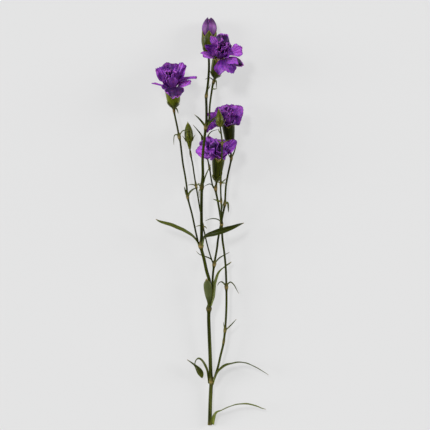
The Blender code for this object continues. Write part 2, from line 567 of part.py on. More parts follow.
def make_leaf(name, leaf, thickness, spacing, material):
    """A leaf blade, channelled along its midrib and tapered to a narrow tip."""
    path = smooth_route(leaf.route, spacing)
    length = along(path)
    grid = []
    for point, forward, distance in zip(path, tangents(path), length):
        share = distance / length[-1]
        face = Vector(leaf.face).lerp(Vector(leaf.tip_face), min(1.0, share * 1.6))
        side = forward.cross(face).normalized()
        up = side.cross(forward)
        width = leaf.width * min(1.0, 0.62 + 1.6 * share) * (1 - share**2.4) + 0.9 * share
        trough = CHANNEL * width
        grid.append([
            point - side * width / 2 + up * trough,
            point,
            point + side * width / 2 + up * trough,
        ])
    return make_sheet(name, grid, thickness, material)


def bloom_matrix(foot, axis, height=0.0):
    """Places a head at a height above the foot of its calyx. Local +Z is its axis, and local +X its front."""
    up = Vector(axis).normalized()
    front = (Vector((0, 0, 1)) - up * up.z).normalized()
    right = up.cross(front)
    turn = Matrix((front, right, up)).transposed().to_4x4()
    return Matrix.Translation(Vector(foot) + up * (SEAT + height)) @ turn


def petal_grid(petal, rows, columns):
    """Points of the petal's middle surface, from its narrow claw to its rounded edge."""
    turn, bend = math.radians(petal.turn), math.radians(petal.cup)
    outward = Vector((math.cos(turn), math.sin(turn), 0))
    sideways = Vector((-math.sin(turn), math.cos(turn), 0))
    upward = Vector((0, 0, 1))
    steps = 40
    outer = OUTER_SHIFT * ease((petal.lean - 40) / 40)
    midline = [outward * (petal.root + outer) + upward * petal.rise]
    leans = []
    for k in range(steps + 1):
        s = k / steps
        lean = CLAW_LEAN + (petal.lean - CLAW_LEAN) * ease(s / 0.26) + petal.curl * max(0.0, s - 0.3) / 0.7
        leans.append(math.radians(lean))
        midline.append(midline[-1] + (outward * math.sin(leans[-1]) + upward * math.cos(leans[-1]))
                       * petal.reach / steps)
    corner, taper = min(0.28, petal.point), 0.08 + 0.7 * max(0.0, petal.point - 0.28)
    grid = []
    for i in range(rows + 1):
        s = i / rows
        roll = math.radians(petal.roll) * ease(s / 0.5)
        fan = ease(s / petal.spread) ** petal.waist
        half = petal.width / 2 * (CLAW_SHARE + (1 - CLAW_SHARE) * fan) * (1 - taper * s**4)
        row = []
        for j in range(columns + 1):
            t = 2 * j / columns - 1
            across = t * half
            k = round(s * (1 - corner * s * t * t) * steps)
            normal = upward * math.sin(leans[k]) - outward * math.cos(leans[k])
            side_step = math.sin(across * bend) / bend
            lift = (1 - math.cos(across * bend)) / bend + ruffle(petal, s, t)
            turned_side = sideways * math.cos(roll) + normal * math.sin(roll)
            turned_normal = normal * math.cos(roll) - sideways * math.sin(roll)
            row.append(midline[k] + turned_side * side_step + turned_normal * lift)
        grid.append(row)
    return grid


def ease(x):
    """Rises smoothly from 0 to 1 while x does."""
    x = min(1.0, max(0.0, x))
    return x * x * (3 - 2 * x)


def ruffle(petal, s, t):
    """How far a petal's ruffle stands off its middle surface, growing towards its edge."""
    return petal.width * RUFFLE * s**2 * math.sin(t * 4.6 + math.radians(petal.turn * 3.7))


def fuse(name, bodies, material):
    """Joins bodies into one solid."""
    first, others = bodies[0], bodies[1:]
    if others:
        group = bpy.data.collections.new(name + "_bodies")
        bpy.context.scene.collection.children.link(group)
        for body in others:
            bpy.context.scene.collection.objects.unlink(body)
            group.objects.link(body)
        union = first.modifiers.new("union", "BOOLEAN")
        union.operation = "UNION"
        union.operand_type = "COLLECTION"
        union.collection = group
        union.solver = "EXACT"
        evaluated = first.evaluated_get(bpy.context.evaluated_depsgraph_get())
        mesh = bpy.data.meshes.new_from_object(evaluated)
        first.modifiers.clear()
        first.data = mesh
        for body in others:
            bpy.data.objects.remove(body)
        bpy.data.collections.remove(group)
    first.name = name
    first.data.name = name
    first.data.materials.clear()
    first.data.materials.append(material)
    return first


def make_stalk(name, stalk, materials):
    bodies = [make_stalk_body(name, stalk, materials["stem"])]
    for i, leaf in enumerate(stalk.leaves):
        bodies.append(make_leaf(f"{name}_leaf_{i}", leaf, SMALL_LEAF_THICKNESS, SMALL_LEAF_SPACING, materials["leaf"]))
    return fuse(name, bodies, materials["stem"])


def make_calyx(name, bloom, materials):
    """A green tube with five teeth, hollow at its mouth, with small bracts round its foot."""
    notch, rim = bloom.calyx[-1]
    points = []
    for height, radius in bloom.calyx[:-1]:
        points += [turned_point(height, radius, k) for k in range(CALYX_SIDES)]
    for shrink in (0.0, CALYX_WALL):
        for k in range(CALYX_SIDES):
            tip = k % 2
            points.append(turned_point(notch + bloom.tooth * tip, rim - shrink - 0.25 * tip, k))
    bottom = notch - MOUTH_DEPTH
    points += [turned_point(bottom, rim - CALYX_WALL - 0.6, k) for k in range(CALYX_SIDES)]
    points += [Vector((0, 0, 0)), Vector((0, 0, bottom))]
    body = new_object(name, points, rings_to_faces(len(bloom.calyx) + 2, CALYX_SIDES), materials["calyx"],
                      bloom_matrix(bloom.foot, bloom.axis))
    bodies = [body]
    for turn in CALYX_BRACT_TURNS:
        bodies.append(make_bract(f"{name}_bract_{turn}", bloom, turn, materials["calyx"]))
    return fuse(name, bodies, materials["calyx"])


def make_bract(name, bloom, turn, material):
    """A small pointed scale against the foot of a calyx."""
    angle = math.radians(turn)
    outward = Vector((math.cos(angle), math.sin(angle), 0))
    sideways = Vector((-math.sin(angle), math.cos(angle), 0))
    grid = []
    for height, clear, width in CALYX_BRACT_ROWS:
        radius = profile_radius(bloom.calyx, height) + clear
        middle = outward * radius + Vector((0, 0, height))
        drop = outward * (width * width / (8 * radius))
        grid.append([middle - sideways * width / 2 - drop, middle, middle + sideways * width / 2 - drop])
    return make_sheet(name, grid, SMALL_LEAF_THICKNESS, material, bloom_matrix(bloom.foot, bloom.axis))


def profile_radius(profile, height):
    for (low, low_radius), (high, high_radius) in zip(profile, profile[1:]):
        if height <= high:
            return low_radius + (high_radius - low_radius) * (height - low) / (high - low)
    return profile[-1][1]


def turned_point(height, radius, k):
    angle = 2 * math.pi * k / CALYX_SIDES
    return Vector((radius * math.cos(angle), radius * math.sin(angle), height))


def make_petals(name, bloom, materials):
    """All the petals of a head, grown from one core that sits in the calyx."""
    material = materials[bloom.colour]
    notch = bloom.calyx[-1][0]
    core_radius, core_height = bloom.core
    floor = SEAT - MOUTH_DEPTH
    profile = [(floor, core_radius * 0.75), (0.0, core_radius * 0.86), (core_height * 0.55, core_radius),
               (core_height * 0.85, core_radius * 0.72)]
    points = [turned_point(height, radius, k) for height, radius in profile for k in range(CALYX_SIDES)]
    points += [Vector((0, 0, floor)), Vector((0, 0, core_height))]
    placed = bloom_matrix(bloom.foot, bloom.axis, notch)
    bodies = [new_object(name, points, rings_to_faces(len(profile), CALYX_SIDES), material, placed)]
    for i, petal in enumerate(bloom.petals):
        grid = petal_grid(petal, PETAL_ROWS, PETAL_COLUMNS)
        bodies.append(make_sheet(f"{name}_{i}", grid, PETAL_THICKNESS, material, placed))
    return fuse(name, bodies, material)


def make_bud(name, materials):
    """A closed bud, ribbed by its five sepals, with small bracts at its foot."""
    foot, axis, profile, bract_height = BUDS[name]
    points = []
    for height, radius in profile:
        for k in range(CALYX_SIDES):
            rib = 1 - BUD_RIB if k % 2 else 1 + BUD_RIB
            points.append(turned_point(height, radius * rib, k))
    points += [Vector((0, 0, 0)), Vector((0, 0, profile[-1][0] + 0.6))]
    placed = bloom_matrix(foot, axis)
    bodies = [new_object(name, points, rings_to_faces(len(profile), CALYX_SIDES), materials["bud"], placed)]
    for turn in BUD_BRACT_TURNS:
        angle = math.radians(turn)
        outward = Vector((math.cos(angle), math.sin(angle), 0))
        sideways = Vector((-math.sin(angle), math.cos(angle), 0))
        grid = []
        for rise, clear, width in BUD_BRACT_ROWS:
            middle = outward * (profile_radius(profile, bract_height + rise) + clear)
            middle.z = bract_height + rise
            grid.append([middle - sideways * width / 2, middle, middle + sideways * width / 2])
        bodies.append(make_sheet(f"{name}_{turn}", grid, SMALL_LEAF_THICKNESS, materials["bud"], placed))
    return fuse(name, bodies, materials["bud"])


def main():
    for obj in list(bpy.data.objects):
        bpy.data.objects.remove(obj)
    materials = make_materials()
    plant = bpy.data.objects.new("carnation", None)
    bpy.context.scene.collection.objects.link(plant)
    pieces = [
        make_stalk("main_stem", MAIN_STEM, materials),
        make_stalk("lower_bloom_stalk", LOWER_BLOOM_STALK, materials),
        make_stalk("upper_right_bloom_stalk", RIGHT_BLOOM_STALK, materials),
        make_stalk("left_bloom_stalk", LEFT_BLOOM_STALK, materials),
        make_stalk("left_bud_stalk", LEFT_BUD_STALK, materials),
        make_stalk("right_bud_stalk", RIGHT_BUD_STALK, materials),
        make_stalk("top_bloom_stalk", TOP_BLOOM_STALK, materials),
        make_stalk("side_shoot", SIDE_SHOOT, materials),
    ]
    for name, leaf in LEAVES.items():
        pieces.append(fuse(name, [make_leaf(name, leaf, LEAF_THICKNESS, LEAF_SPACING, materials["leaf"])],
                           materials["leaf"]))
    for name, bloom in BLOOMS.items():
        pieces.append(make_calyx(name + "_calyx", bloom, materials))
        pieces.append(make_petals(name + "_petals", bloom, materials))
    for name in BUDS:
        pieces.append(make_bud(name, materials))
    for piece in pieces:
        piece.parent = plant


main()
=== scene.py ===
# %% [markdown]
# # A mini carnation stem, cut and laid down
# A spray carnation is one stem that forks at swollen joints and carries several small blooms and
# buds. The solid model gives every piece its place and size. This script keeps those places and
# gives each piece its finished shape and surface: fringed petals, lined calyces, channelled leaves
# and jointed stalks. Lengths are in millimetres, because that is how a flower is measured, and
# become metres in the mesh.

# %% Load the solid model
import math
import random
from typing import NamedTuple

import bpy
from mathutils import Matrix, Vector


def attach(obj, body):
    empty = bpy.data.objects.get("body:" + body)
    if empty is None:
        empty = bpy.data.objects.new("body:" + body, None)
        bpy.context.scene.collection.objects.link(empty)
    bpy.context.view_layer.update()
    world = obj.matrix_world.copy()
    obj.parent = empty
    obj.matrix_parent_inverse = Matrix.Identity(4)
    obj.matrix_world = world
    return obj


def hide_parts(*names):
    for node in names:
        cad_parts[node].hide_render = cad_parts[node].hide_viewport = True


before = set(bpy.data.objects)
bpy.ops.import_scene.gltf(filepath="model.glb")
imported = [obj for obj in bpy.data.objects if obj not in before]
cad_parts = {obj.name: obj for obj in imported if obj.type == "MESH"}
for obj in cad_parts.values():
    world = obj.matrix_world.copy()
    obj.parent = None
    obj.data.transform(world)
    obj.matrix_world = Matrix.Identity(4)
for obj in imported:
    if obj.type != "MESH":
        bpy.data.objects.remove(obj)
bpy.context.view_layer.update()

MM = 0.001

# %% [markdown]
# ## Camera
# The stem was photographed by a camera square to it and far away, so the picture has almost no
# perspective. Here it lies down and the camera looks straight down from two metres. A camera with
# no perspective at all would do nearly as well, but a long lens keeps the slight spread of a real
# one. An open bloom is 44 pixels wide in the photograph and about 46 mm in life, which gives the
# millimetres to a pixel.

# %% Camera
PIXEL = 1.05  # mm of the plant to one pixel
IMAGE = 430  # pixels to a side
VIEW_CENTRE = Vector((4.9, 6.8, 0))
CAMERA_HEIGHT = 2000.0
MIDDLE_HEIGHT = 14.0  # height of most of the plant, where the frame's width is measured
VIEW_DEPTH = 20  # metres

camera = bpy.data.objects.new("camera", bpy.data.cameras.new("camera"))
camera.location = (VIEW_CENTRE + Vector((0, 0, CAMERA_HEIGHT))) * MM
camera.data.angle = 2 * math.atan(IMAGE * PIXEL / 2 / (CAMERA_HEIGHT - MIDDLE_HEIGHT))
camera.data.clip_end = VIEW_DEPTH
bpy.context.scene.collection.objects.link(camera)
bpy.context.scene.camera = camera
bpy.context.scene.view_settings.view_transform = "Standard"
print("field of view, degrees:", round(math.degrees(camera.data.angle), 2))

# %% [markdown]
# ## Floor
# The stem lies on a sheet of matt paper. Its grey is dark for paper and it glows a little instead,
# as a sheet lit from below does, so that the shadows on it stay as pale as in the photograph.

# %% Colour helper
def srgb(hex_colour):
    """An sRGB hex colour as linear RGBA."""
    parts = [int(hex_colour[i:i + 2], 16) / 255 for i in (1, 3, 5)]
    linear = tuple(c / 12.92 if c <= 0.04045 else ((c + 0.055) / 1.055) ** 2.4 for c in parts)
    return linear + (1.0,)


print("middle grey, linear:", [round(c, 3) for c in srgb("#808080")])

# %% Floor
FLOOR_HALF = 4  # metres from the middle to an edge

floor_mesh = bpy.data.meshes.new("floor")
floor_corners = [
    (x * FLOOR_HALF, y * FLOOR_HALF, 0) for x, y in ((-1, -1), (1, -1), (1, 1), (-1, 1))]
floor_mesh.from_pydata(floor_corners, [], [(0, 1, 2, 3)])
floor = bpy.data.objects.new("floor", floor_mesh)
bpy.context.scene.collection.objects.link(floor)
# Uncoated paper: pressed fibres scatter light every way, so it shows no shine
matt_paper = bpy.data.materials.new("matt_paper")
matt_paper.use_nodes = True
paper_shader = matt_paper.node_tree.nodes["Principled BSDF"]
paper_shader.inputs["Base Color"].default_value = srgb("#808080")
paper_shader.inputs["Roughness"].default_value = 0.9
paper_shader.inputs["Emission Color"].default_value = srgb("#F4F4F4")
paper_shader.inputs["Emission Strength"].default_value = 0.6
floor_mesh.materials.append(matt_paper)
print("floor, metres to a side:", 2 * FLOOR_HALF)

# %% [markdown]
# ## Light
# A studio would use large soft boxes: one above, and one low on each side to draw the light rims
# that stalks and calyces show. Here each box is a sun with a wide angle. Near lamps would make
# the same soft edges, but a sun lights the whole length of the stem alike. A pale sky opens the
# shadows.

# %% Sky
sky = bpy.data.worlds.new("pale_sky")
sky.use_nodes = True
background = sky.node_tree.nodes["Background"]
background.inputs["Color"].default_value = srgb("#F4F5F7")
background.inputs["Strength"].default_value = 0.22
bpy.context.scene.world = sky
print("sky:", sky.name)

# %% Soft boxes
# Each box: its name, the way to it from the plant, its spread in degrees, and its strength
SOFT_BOXES = [
    ("key_box", (-0.45, 0.5, 1.0), 12, 1.3),
    ("left_box", (-1.0, 0.1, 0.32), 25, 2.4),
    ("right_box", (1.0, 0.25, 0.32), 25, 2.4),
]
for name, side, spread, strength in SOFT_BOXES:
    light = bpy.data.lights.new(name, "SUN")
    light.angle = math.radians(spread)
    light.energy = strength
    lamp = bpy.data.objects.new(name, light)
    lamp.rotation_euler = Vector(side).to_track_quat("Z", "Y").to_euler()
    bpy.context.scene.collection.objects.link(lamp)
print("soft boxes:", len(SOFT_BOXES))

# %% [markdown]
# ## Petal finish
# A carnation petal is a thin sheet of living cells. Its skin is a velvet of tiny domes, so it is
# soft and matt. Darker veins fan out from a cream claw, and the back is paler. Painted light is
# laid over this: pale patches of painted highlight, painted shade deepening the base towards the
# throat along with the petal's own deeper base, and a rim of painted shade that draws the dark line
# between overlapping petals, pale as a painted highlight on a dark petal. A picture of a petal
# could be wrapped on each one, but nodes follow every petal's own shape at any distance. They read
# the map of the piece, which runs across the petal in U and from root to edge in V. They also read
# two
# values: under is 1 on the back, and a tone says how light this petal is drawn, from -1 to 1,
# partly its own colour and partly painted light and shade.

# %% Node helper
def add_node(tree, kind, inputs=None, **settings):
    """Adds a node. inputs maps a socket's name or number to a value, or to the output it reads."""
    node = tree.nodes.new(kind)
    for key, value in settings.items():
        setattr(node, key, value)
    for key, value in (inputs or {}).items():
        if isinstance(value, bpy.types.NodeSocket):
            tree.links.new(value, node.inputs[key])
        else:
            node.inputs[key].default_value = value
    return node


# A colour Mix node has twins of its sockets for other data, so they are called by number:
# the share, the colour below, the colour above and the mixed result
SHARE, BELOW, ABOVE, MIXED = 0, 6, 7, 2
print("node helper ready, Mix sockets:", SHARE, BELOW, ABOVE, MIXED)


# %% How every finish starts
LIGHT_REACH = 1.2  # mm that light travels inside soft plant tissue


def start_finish(name, roughness, gloss, sheen, sheen_colour, fuzz, translucence):
    """A new finish, with its plain numbers on the shader. IOR stays 1.5, near plant wax's 1.45."""
    material = bpy.data.materials.new(name)
    material.use_nodes = True
    shader = material.node_tree.nodes["Principled BSDF"]
    shader.inputs["Roughness"].default_value = roughness
    shader.inputs["Specular IOR Level"].default_value = gloss
    shader.inputs["Sheen Weight"].default_value = sheen
    shader.inputs["Sheen Roughness"].default_value = fuzz
    shader.inputs["Sheen Tint"].default_value = srgb(sheen_colour)
    shader.inputs["Subsurface Weight"].default_value = translucence
    shader.inputs["Subsurface Scale"].default_value = LIGHT_REACH * MM
    return material, material.node_tree, shader


print("light reaches", LIGHT_REACH, "mm into petals and leaves")


# %% Petal finish
PETAL_WIDTH, PETAL_LENGTH = 18.0, 24.0  # a middling petal
VEIN_SPACING = 2.0  # real veins stand about 0.7 mm apart, too fine to show from here
VEIN_LENGTH = 20.0
VEIN_HEIGHT = 0.4  # real veins stand up 0.1 mm, which would not show either
HIGHLIGHT_PATCH_SIZE = 7.7  # pale patches where the face catches the light


def make_petal_finish(name, face, deep, pale, back, claw, rim_shade, painted_rim_from, painted_rim_full):
    """Petal: a violet face, darker veins, pale patches of painted highlight, a cream claw, painted
    shade towards the throat and a deep rim of painted shade.

    The last two say where the painted rim starts and is full, from 0 at the midline
    to 1 at the edge. The velvet skin gives a soft sheen at the turn of each petal.
    """
    material, tree, shader = start_finish(
        name, roughness=0.5, gloss=0.3, sheen=0.12, sheen_colour="#D080F0", fuzz=0.3,
        translucence=0.15)
    uv = add_node(tree, "ShaderNodeUVMap", uv_map="map").outputs["UV"]
    apart = add_node(tree, "ShaderNodeSeparateXYZ", {"Vector": uv}).outputs
    place = add_node(tree, "ShaderNodeTexCoord").outputs["Object"]
    under = add_node(tree, "ShaderNodeAttribute", attribute_name="under").outputs["Fac"]
    tone = add_node(tree, "ShaderNodeAttribute", attribute_name="tone").outputs["Fac"]

    # Veins: noise drawn out from root to edge
    fan_scale = (PETAL_WIDTH / VEIN_SPACING, PETAL_LENGTH / VEIN_LENGTH, 1)
    fan = add_node(tree, "ShaderNodeMapping", {"Vector": uv, "Scale": fan_scale}).outputs["Vector"]
    veins = add_node(
        tree, "ShaderNodeTexNoise", {"Vector": fan, "Scale": 1.0, "Detail": 3.0}).outputs["Fac"]
    vein_share = add_node(
        tree, "ShaderNodeMapRange",
        {"Value": veins, "From Min": 0.42, "From Max": 0.64, "To Max": 0.85}).outputs[0]

    # Pale patches: painted highlights where the face would catch the light
    highlight_patches = add_node(
        tree, "ShaderNodeTexNoise",
        {"Vector": place, "Scale": 1 / (HIGHLIGHT_PATCH_SIZE * MM), "Detail": 2.0}).outputs["Fac"]
    painted_highlight_share = add_node(
        tree, "ShaderNodeMapRange",
        {"Value": highlight_patches, "From Min": 0.46, "From Max": 0.7, "To Max": 0.55}).outputs[0]

    # Each petal's tone, lighter above 0 and darker below: partly its own colour, partly painted
    # light and painted shade copied from how each petal is lit
    lighter = add_node(tree, "ShaderNodeMapRange", {"Value": tone, "To Max": 0.8}).outputs[0]
    darker = add_node(
        tree, "ShaderNodeMapRange",
        {"Value": tone, "From Min": 0.0, "From Max": -1.0, "To Max": 0.9}).outputs[0]

    # Deeper towards the throat: partly the petal's own deeper base, partly painted shade of the
    # deep cup. Paler on the back
    throat_shade_share = add_node(
        tree, "ShaderNodeMapRange",
        {"Value": apart["Y"], "From Min": 0.65, "From Max": 0.2, "To Max": 0.75}).outputs[0]
    back_share = add_node(
        tree, "ShaderNodeMath", {0: under, 1: 0.45}, operation="MULTIPLY").outputs[0]

    # The rim follows the sides and the edge. It is painted shade, a deep line like the shade
    # between overlapping petals, but a pale painted highlight on a dark petal.
    sideways = add_node(
        tree, "ShaderNodeMath", {0: apart["X"], 1: 2.0, 2: -1.0},
        operation="MULTIPLY_ADD").outputs[0]
    sideways = add_node(
        tree, "ShaderNodeMath", {0: sideways}, operation="ABSOLUTE").outputs[0]
    outermost = add_node(
        tree, "ShaderNodeMath", {0: sideways, 1: apart["Y"]}, operation="MAXIMUM").outputs[0]
    painted_rim_share = add_node(
        tree, "ShaderNodeMapRange",
        {"Value": outermost, "From Min": painted_rim_from, "From Max": painted_rim_full, "To Max": 0.8}).outputs[0]
    painted_rim_colour = add_node(
        tree, "ShaderNodeMix", {SHARE: darker, BELOW: srgb(rim_shade), ABOVE: srgb(pale)},
        data_type="RGBA").outputs[MIXED]

    # The cream claw
    claw_share = add_node(
        tree, "ShaderNodeMapRange",
        {"Value": apart["Y"], "From Min": 0.2, "From Max": 0.08}).outputs[0]

    colour = srgb(face)
    for share, over in (
            (vein_share, srgb(deep)), (painted_highlight_share, srgb(pale)), (lighter, srgb(pale)),
            (darker, srgb(deep)), (throat_shade_share, srgb(deep)), (back_share, srgb(back)),
            (painted_rim_share, painted_rim_colour), (claw_share, srgb(claw))):
        colour = add_node(
            tree, "ShaderNodeMix", {SHARE: share, BELOW: colour, ABOVE: over},
            data_type="RGBA").outputs[MIXED]
    tree.links.new(colour, shader.inputs["Base Color"])
    bump = add_node(
        tree, "ShaderNodeBump",
        {"Height": veins, "Strength": 0.35, "Distance": VEIN_HEIGHT * MM}).outputs[0]
    tree.links.new(bump, shader.inputs["Normal"])
    return material


# %% The two kinds of petal
# Open petals are a bright violet. Furled ones have grown in the calyx without sun, so they are a
# greyer mauve. Their wide dark rims are painted shade, for the seams where each tucks under the
# next.
petal_finish = make_petal_finish(
    "carnation_petal", face="#7422A4", deep="#1C032C", pale="#CE6CF0", back="#7A3890",
    claw="#B8A070", rim_shade="#50107C", painted_rim_from=0.92, painted_rim_full=1.0)
bud_petal_finish = make_petal_finish(
    "furled_petal", face="#6C2680", deep="#220430", pale="#B468C6", back="#6A3474",
    claw="#7A4A74", rim_shade="#28023C", painted_rim_from=0.62, painted_rim_full=0.84)
print("petal finishes:", petal_finish.name, bud_petal_finish.name)

# %% [markdown]
# ## Green finishes
# Leaves, calyces and closed buds are green tissue under a thin coat of grey wax. The wax dulls the
# shine and pales the colour, more so on a leaf's underside. Fine lines run their whole length.
# They could be cut into the mesh, but at half a millimetre they are cheaper as noise drawn out
# along the map, which also lifts the surface a little. A value named mark is 1 where a
# piece turns to its joint or tip colour.

# %% Green finish
LINE_DRIFT = 0.8  # how often a line changes on its way from foot to tip
LINE_HEIGHT = 0.3  # drawn three times too high, to show
WAX_CLOUD = 16.7  # the wax lies in clouds of this size


def make_green_finish(
        name, ground, light, wax, joint, fresh, back, roughness, width, line_spacing, line_depth):
    """Leaf, calyx or bud: lines along its map, wax in clouds and a joint or edge colour.

    width is the piece's width, or its girth where it is round, in mm. fresh is the colour
    towards tone 1 and ground the colour towards tone -1.
    """
    material, tree, shader = start_finish(
        name, roughness=roughness, gloss=0.14, sheen=0.1, sheen_colour="#C8CC60", fuzz=0.3,
        translucence=0.05)
    uv = add_node(tree, "ShaderNodeUVMap", uv_map="map").outputs["UV"]
    up_the_piece = add_node(tree, "ShaderNodeSeparateXYZ", {"Vector": uv}).outputs["Y"]
    place = add_node(tree, "ShaderNodeTexCoord").outputs["Object"]
    under = add_node(tree, "ShaderNodeAttribute", attribute_name="under").outputs["Fac"]
    mark = add_node(tree, "ShaderNodeAttribute", attribute_name="mark").outputs["Fac"]
    tone = add_node(tree, "ShaderNodeAttribute", attribute_name="tone").outputs["Fac"]

    # Lines
    line_scale = (width / line_spacing, LINE_DRIFT, 1)
    drawn_out = add_node(
        tree, "ShaderNodeMapping", {"Vector": uv, "Scale": line_scale}).outputs["Vector"]
    lines = add_node(
        tree, "ShaderNodeTexNoise",
        {"Vector": drawn_out, "Scale": 1.0, "Detail": 2.0}).outputs["Fac"]
    line_share = add_node(
        tree, "ShaderNodeMapRange", {"Value": lines, "From Min": 0.4, "From Max": 0.66}).outputs[0]

    # Wax in clouds, and all over the underside above the foot
    clouds = add_node(
        tree, "ShaderNodeTexNoise",
        {"Vector": place, "Scale": 1 / (WAX_CLOUD * MM), "Detail": 2.0}).outputs["Fac"]
    cloud_share = add_node(
        tree, "ShaderNodeMapRange",
        {"Value": clouds, "From Min": 0.45, "From Max": 0.8, "To Max": 0.5}).outputs[0]
    above_foot = add_node(
        tree, "ShaderNodeMapRange",
        {"Value": up_the_piece, "From Min": 0.1, "From Max": 0.4, "To Max": 0.6}).outputs[0]
    back_share = add_node(
        tree, "ShaderNodeMath", {0: under, 1: above_foot}, operation="MULTIPLY").outputs[0]

    # Each piece's tone, lighter above 0 and darker below
    darker = add_node(
        tree, "ShaderNodeMapRange",
        {"Value": tone, "From Min": 0.0, "From Max": -1.0, "To Max": 0.8}).outputs[0]
    lighter = add_node(tree, "ShaderNodeMapRange", {"Value": tone, "To Max": 0.8}).outputs[0]

    colour = srgb(ground)
    for share, over in (
            (line_share, light), (cloud_share, wax), (darker, ground), (lighter, fresh),
            (back_share, back), (mark, joint)):
        colour = add_node(
            tree, "ShaderNodeMix", {SHARE: share, BELOW: colour, ABOVE: srgb(over)},
            data_type="RGBA").outputs[MIXED]
    tree.links.new(colour, shader.inputs["Base Color"])
    bump = add_node(
        tree, "ShaderNodeBump",
        {"Height": lines, "Strength": line_depth, "Distance": LINE_HEIGHT * MM}).outputs[0]
    tree.links.new(bump, shader.inputs["Normal"])
    return material


# %% Leaf, calyx and bud
# A leaf has parallel veins about 0.3 mm apart, drawn coarser here, and dries to tan at its tip.
leaf_finish = make_green_finish(
    "waxed_leaf", ground="#1A2002", light="#3C440A", wax="#4C5420", joint="#A88048",
    fresh="#7E8834", back="#626A40", roughness=0.36, width=4.2, line_spacing=0.7, line_depth=0.25)
# A calyx is ribbed where its five sepals have grown together. The ribs' bump catches the lamps, and
# their lighter lines are partly painted highlight.
calyx_finish = make_green_finish(
    "calyx_skin", ground="#161A01", light="#5C6212", wax="#3A4212", joint="#8E9036",
    fresh="#666E14", back="#5C6212", roughness=0.32, width=39.1, line_spacing=1.15, line_depth=0.5)
# A closed bud is younger, so it is a lighter and fresher green with finer ribs.
bud_finish = make_green_finish(
    "bud_skin", ground="#262C04", light="#6C7218", wax="#585E20", joint="#98944A",
    fresh="#6C7218", back="#6C7218", roughness=0.32, width=29.6, line_spacing=0.74, line_depth=0.4)
print("green finishes:", [m.name for m in (leaf_finish, calyx_finish, bud_finish)])

# %% [markdown]
# ## Stalk finish
# A stalk is a smooth waxed green rod, streaked along its length, with a pale tan ring at each
# joint. A stalk bends, so streaks in plain space would cut across it. They are read instead
# from two values that its mesh carries: round is the place on the round profile and run the
# distance along the route.

# %% Streaks and clouds of the stalk
STEM_RADIUS = 1.82  # the main stem's, halfway up
STREAK_SPACING = 0.7  # real streaks are half as wide, too fine to show
STREAK_LENGTH = 42.7
STREAK_HEIGHT = 0.2  # drawn coarse, like the streaks
STALK_CLOUD = 45.5  # light and dark stretches

stalk_finish, tree, shader = start_finish(
    "stalk_skin", roughness=0.36, gloss=0.06, sheen=0.6, sheen_colour="#B0B028", fuzz=0.25,
    translucence=0.05)
streak_scale = STEM_RADIUS / STREAK_SPACING
profile_place = add_node(tree, "ShaderNodeAttribute", attribute_name="round").outputs["Vector"]
apart = add_node(tree, "ShaderNodeSeparateXYZ", {"Vector": profile_place}).outputs
run = add_node(tree, "ShaderNodeAttribute", attribute_name="run").outputs["Fac"]
slow_run = add_node(
    tree, "ShaderNodeMath", {0: run, 1: 1 / (STREAK_LENGTH * MM * streak_scale)},
    operation="MULTIPLY").outputs[0]
drawn_out = add_node(
    tree, "ShaderNodeCombineXYZ", {"X": apart["X"], "Y": apart["Y"], "Z": slow_run}).outputs[0]
streaks = add_node(
    tree, "ShaderNodeTexNoise",
    {"Vector": drawn_out, "Scale": streak_scale, "Detail": 2.0}).outputs["Fac"]
streak_share = add_node(
    tree, "ShaderNodeMapRange", {"Value": streaks, "From Min": 0.38, "From Max": 0.7}).outputs[0]
place = add_node(tree, "ShaderNodeTexCoord").outputs["Object"]
clouds = add_node(
    tree, "ShaderNodeTexNoise",
    {"Vector": place, "Scale": 1 / (STALK_CLOUD * MM), "Detail": 2.0}).outputs["Fac"]
cloud_share = add_node(
    tree, "ShaderNodeMapRange",
    {"Value": clouds, "From Min": 0.45, "From Max": 0.75, "To Max": 0.35}).outputs[0]
print("streaks round the stem:", round(2 * math.pi * streak_scale))

# %% Foot and joints of the stalk
# The foot of the stem is older and paler, from 100 mm below the middle to 200 mm
high = add_node(tree, "ShaderNodeSeparateXYZ", {"Vector": place}).outputs["Y"]
foot_share = add_node(
    tree, "ShaderNodeMapRange",
    {"Value": high, "From Min": -100 * MM, "From Max": -200 * MM, "To Max": 0.5}).outputs[0]
foot_share = add_node(
    tree, "ShaderNodeMath", {0: foot_share, 1: streak_share}, operation="MULTIPLY").outputs[0]
# Two leaves clasp each joint left and right, so its ring shows best on top, between their feet
facing = add_node(tree, "ShaderNodeTexCoord").outputs["Normal"]
upward = add_node(tree, "ShaderNodeSeparateXYZ", {"Vector": facing}).outputs["Z"]
upward = add_node(tree, "ShaderNodeMath", {0: upward}, operation="ABSOLUTE").outputs[0]
between = add_node(
    tree, "ShaderNodeMapRange",
    {"Value": upward, "From Min": 0.15, "From Max": 0.75, "To Min": 0.25}).outputs[0]
mark = add_node(tree, "ShaderNodeAttribute", attribute_name="mark").outputs["Fac"]
ring_share = add_node(
    tree, "ShaderNodeMath", {0: mark, 1: between}, operation="MULTIPLY").outputs[0]
# Some rings are redder than others
blush = add_node(
    tree, "ShaderNodeMapRange", {"Value": clouds, "From Min": 0.54, "From Max": 0.72}).outputs[0]
ring_colour = add_node(
    tree, "ShaderNodeMix", {SHARE: blush, BELOW: srgb("#A8925A"), ABOVE: srgb("#9A7048")},
    data_type="RGBA").outputs[MIXED]

colour = srgb("#101400")
for share, over in (
        (streak_share, srgb("#3A4204")), (cloud_share, srgb("#464C14")),
        (foot_share, srgb("#7A8040")), (ring_share, ring_colour)):
    colour = add_node(
        tree, "ShaderNodeMix", {SHARE: share, BELOW: colour, ABOVE: over},
        data_type="RGBA").outputs[MIXED]
tree.links.new(colour, shader.inputs["Base Color"])
bump = add_node(
    tree, "ShaderNodeBump",
    {"Height": streaks, "Strength": 0.3, "Distance": STREAK_HEIGHT * MM}).outputs[0]
tree.links.new(bump, shader.inputs["Normal"])
print("stalk finish:", len(tree.nodes), "nodes")
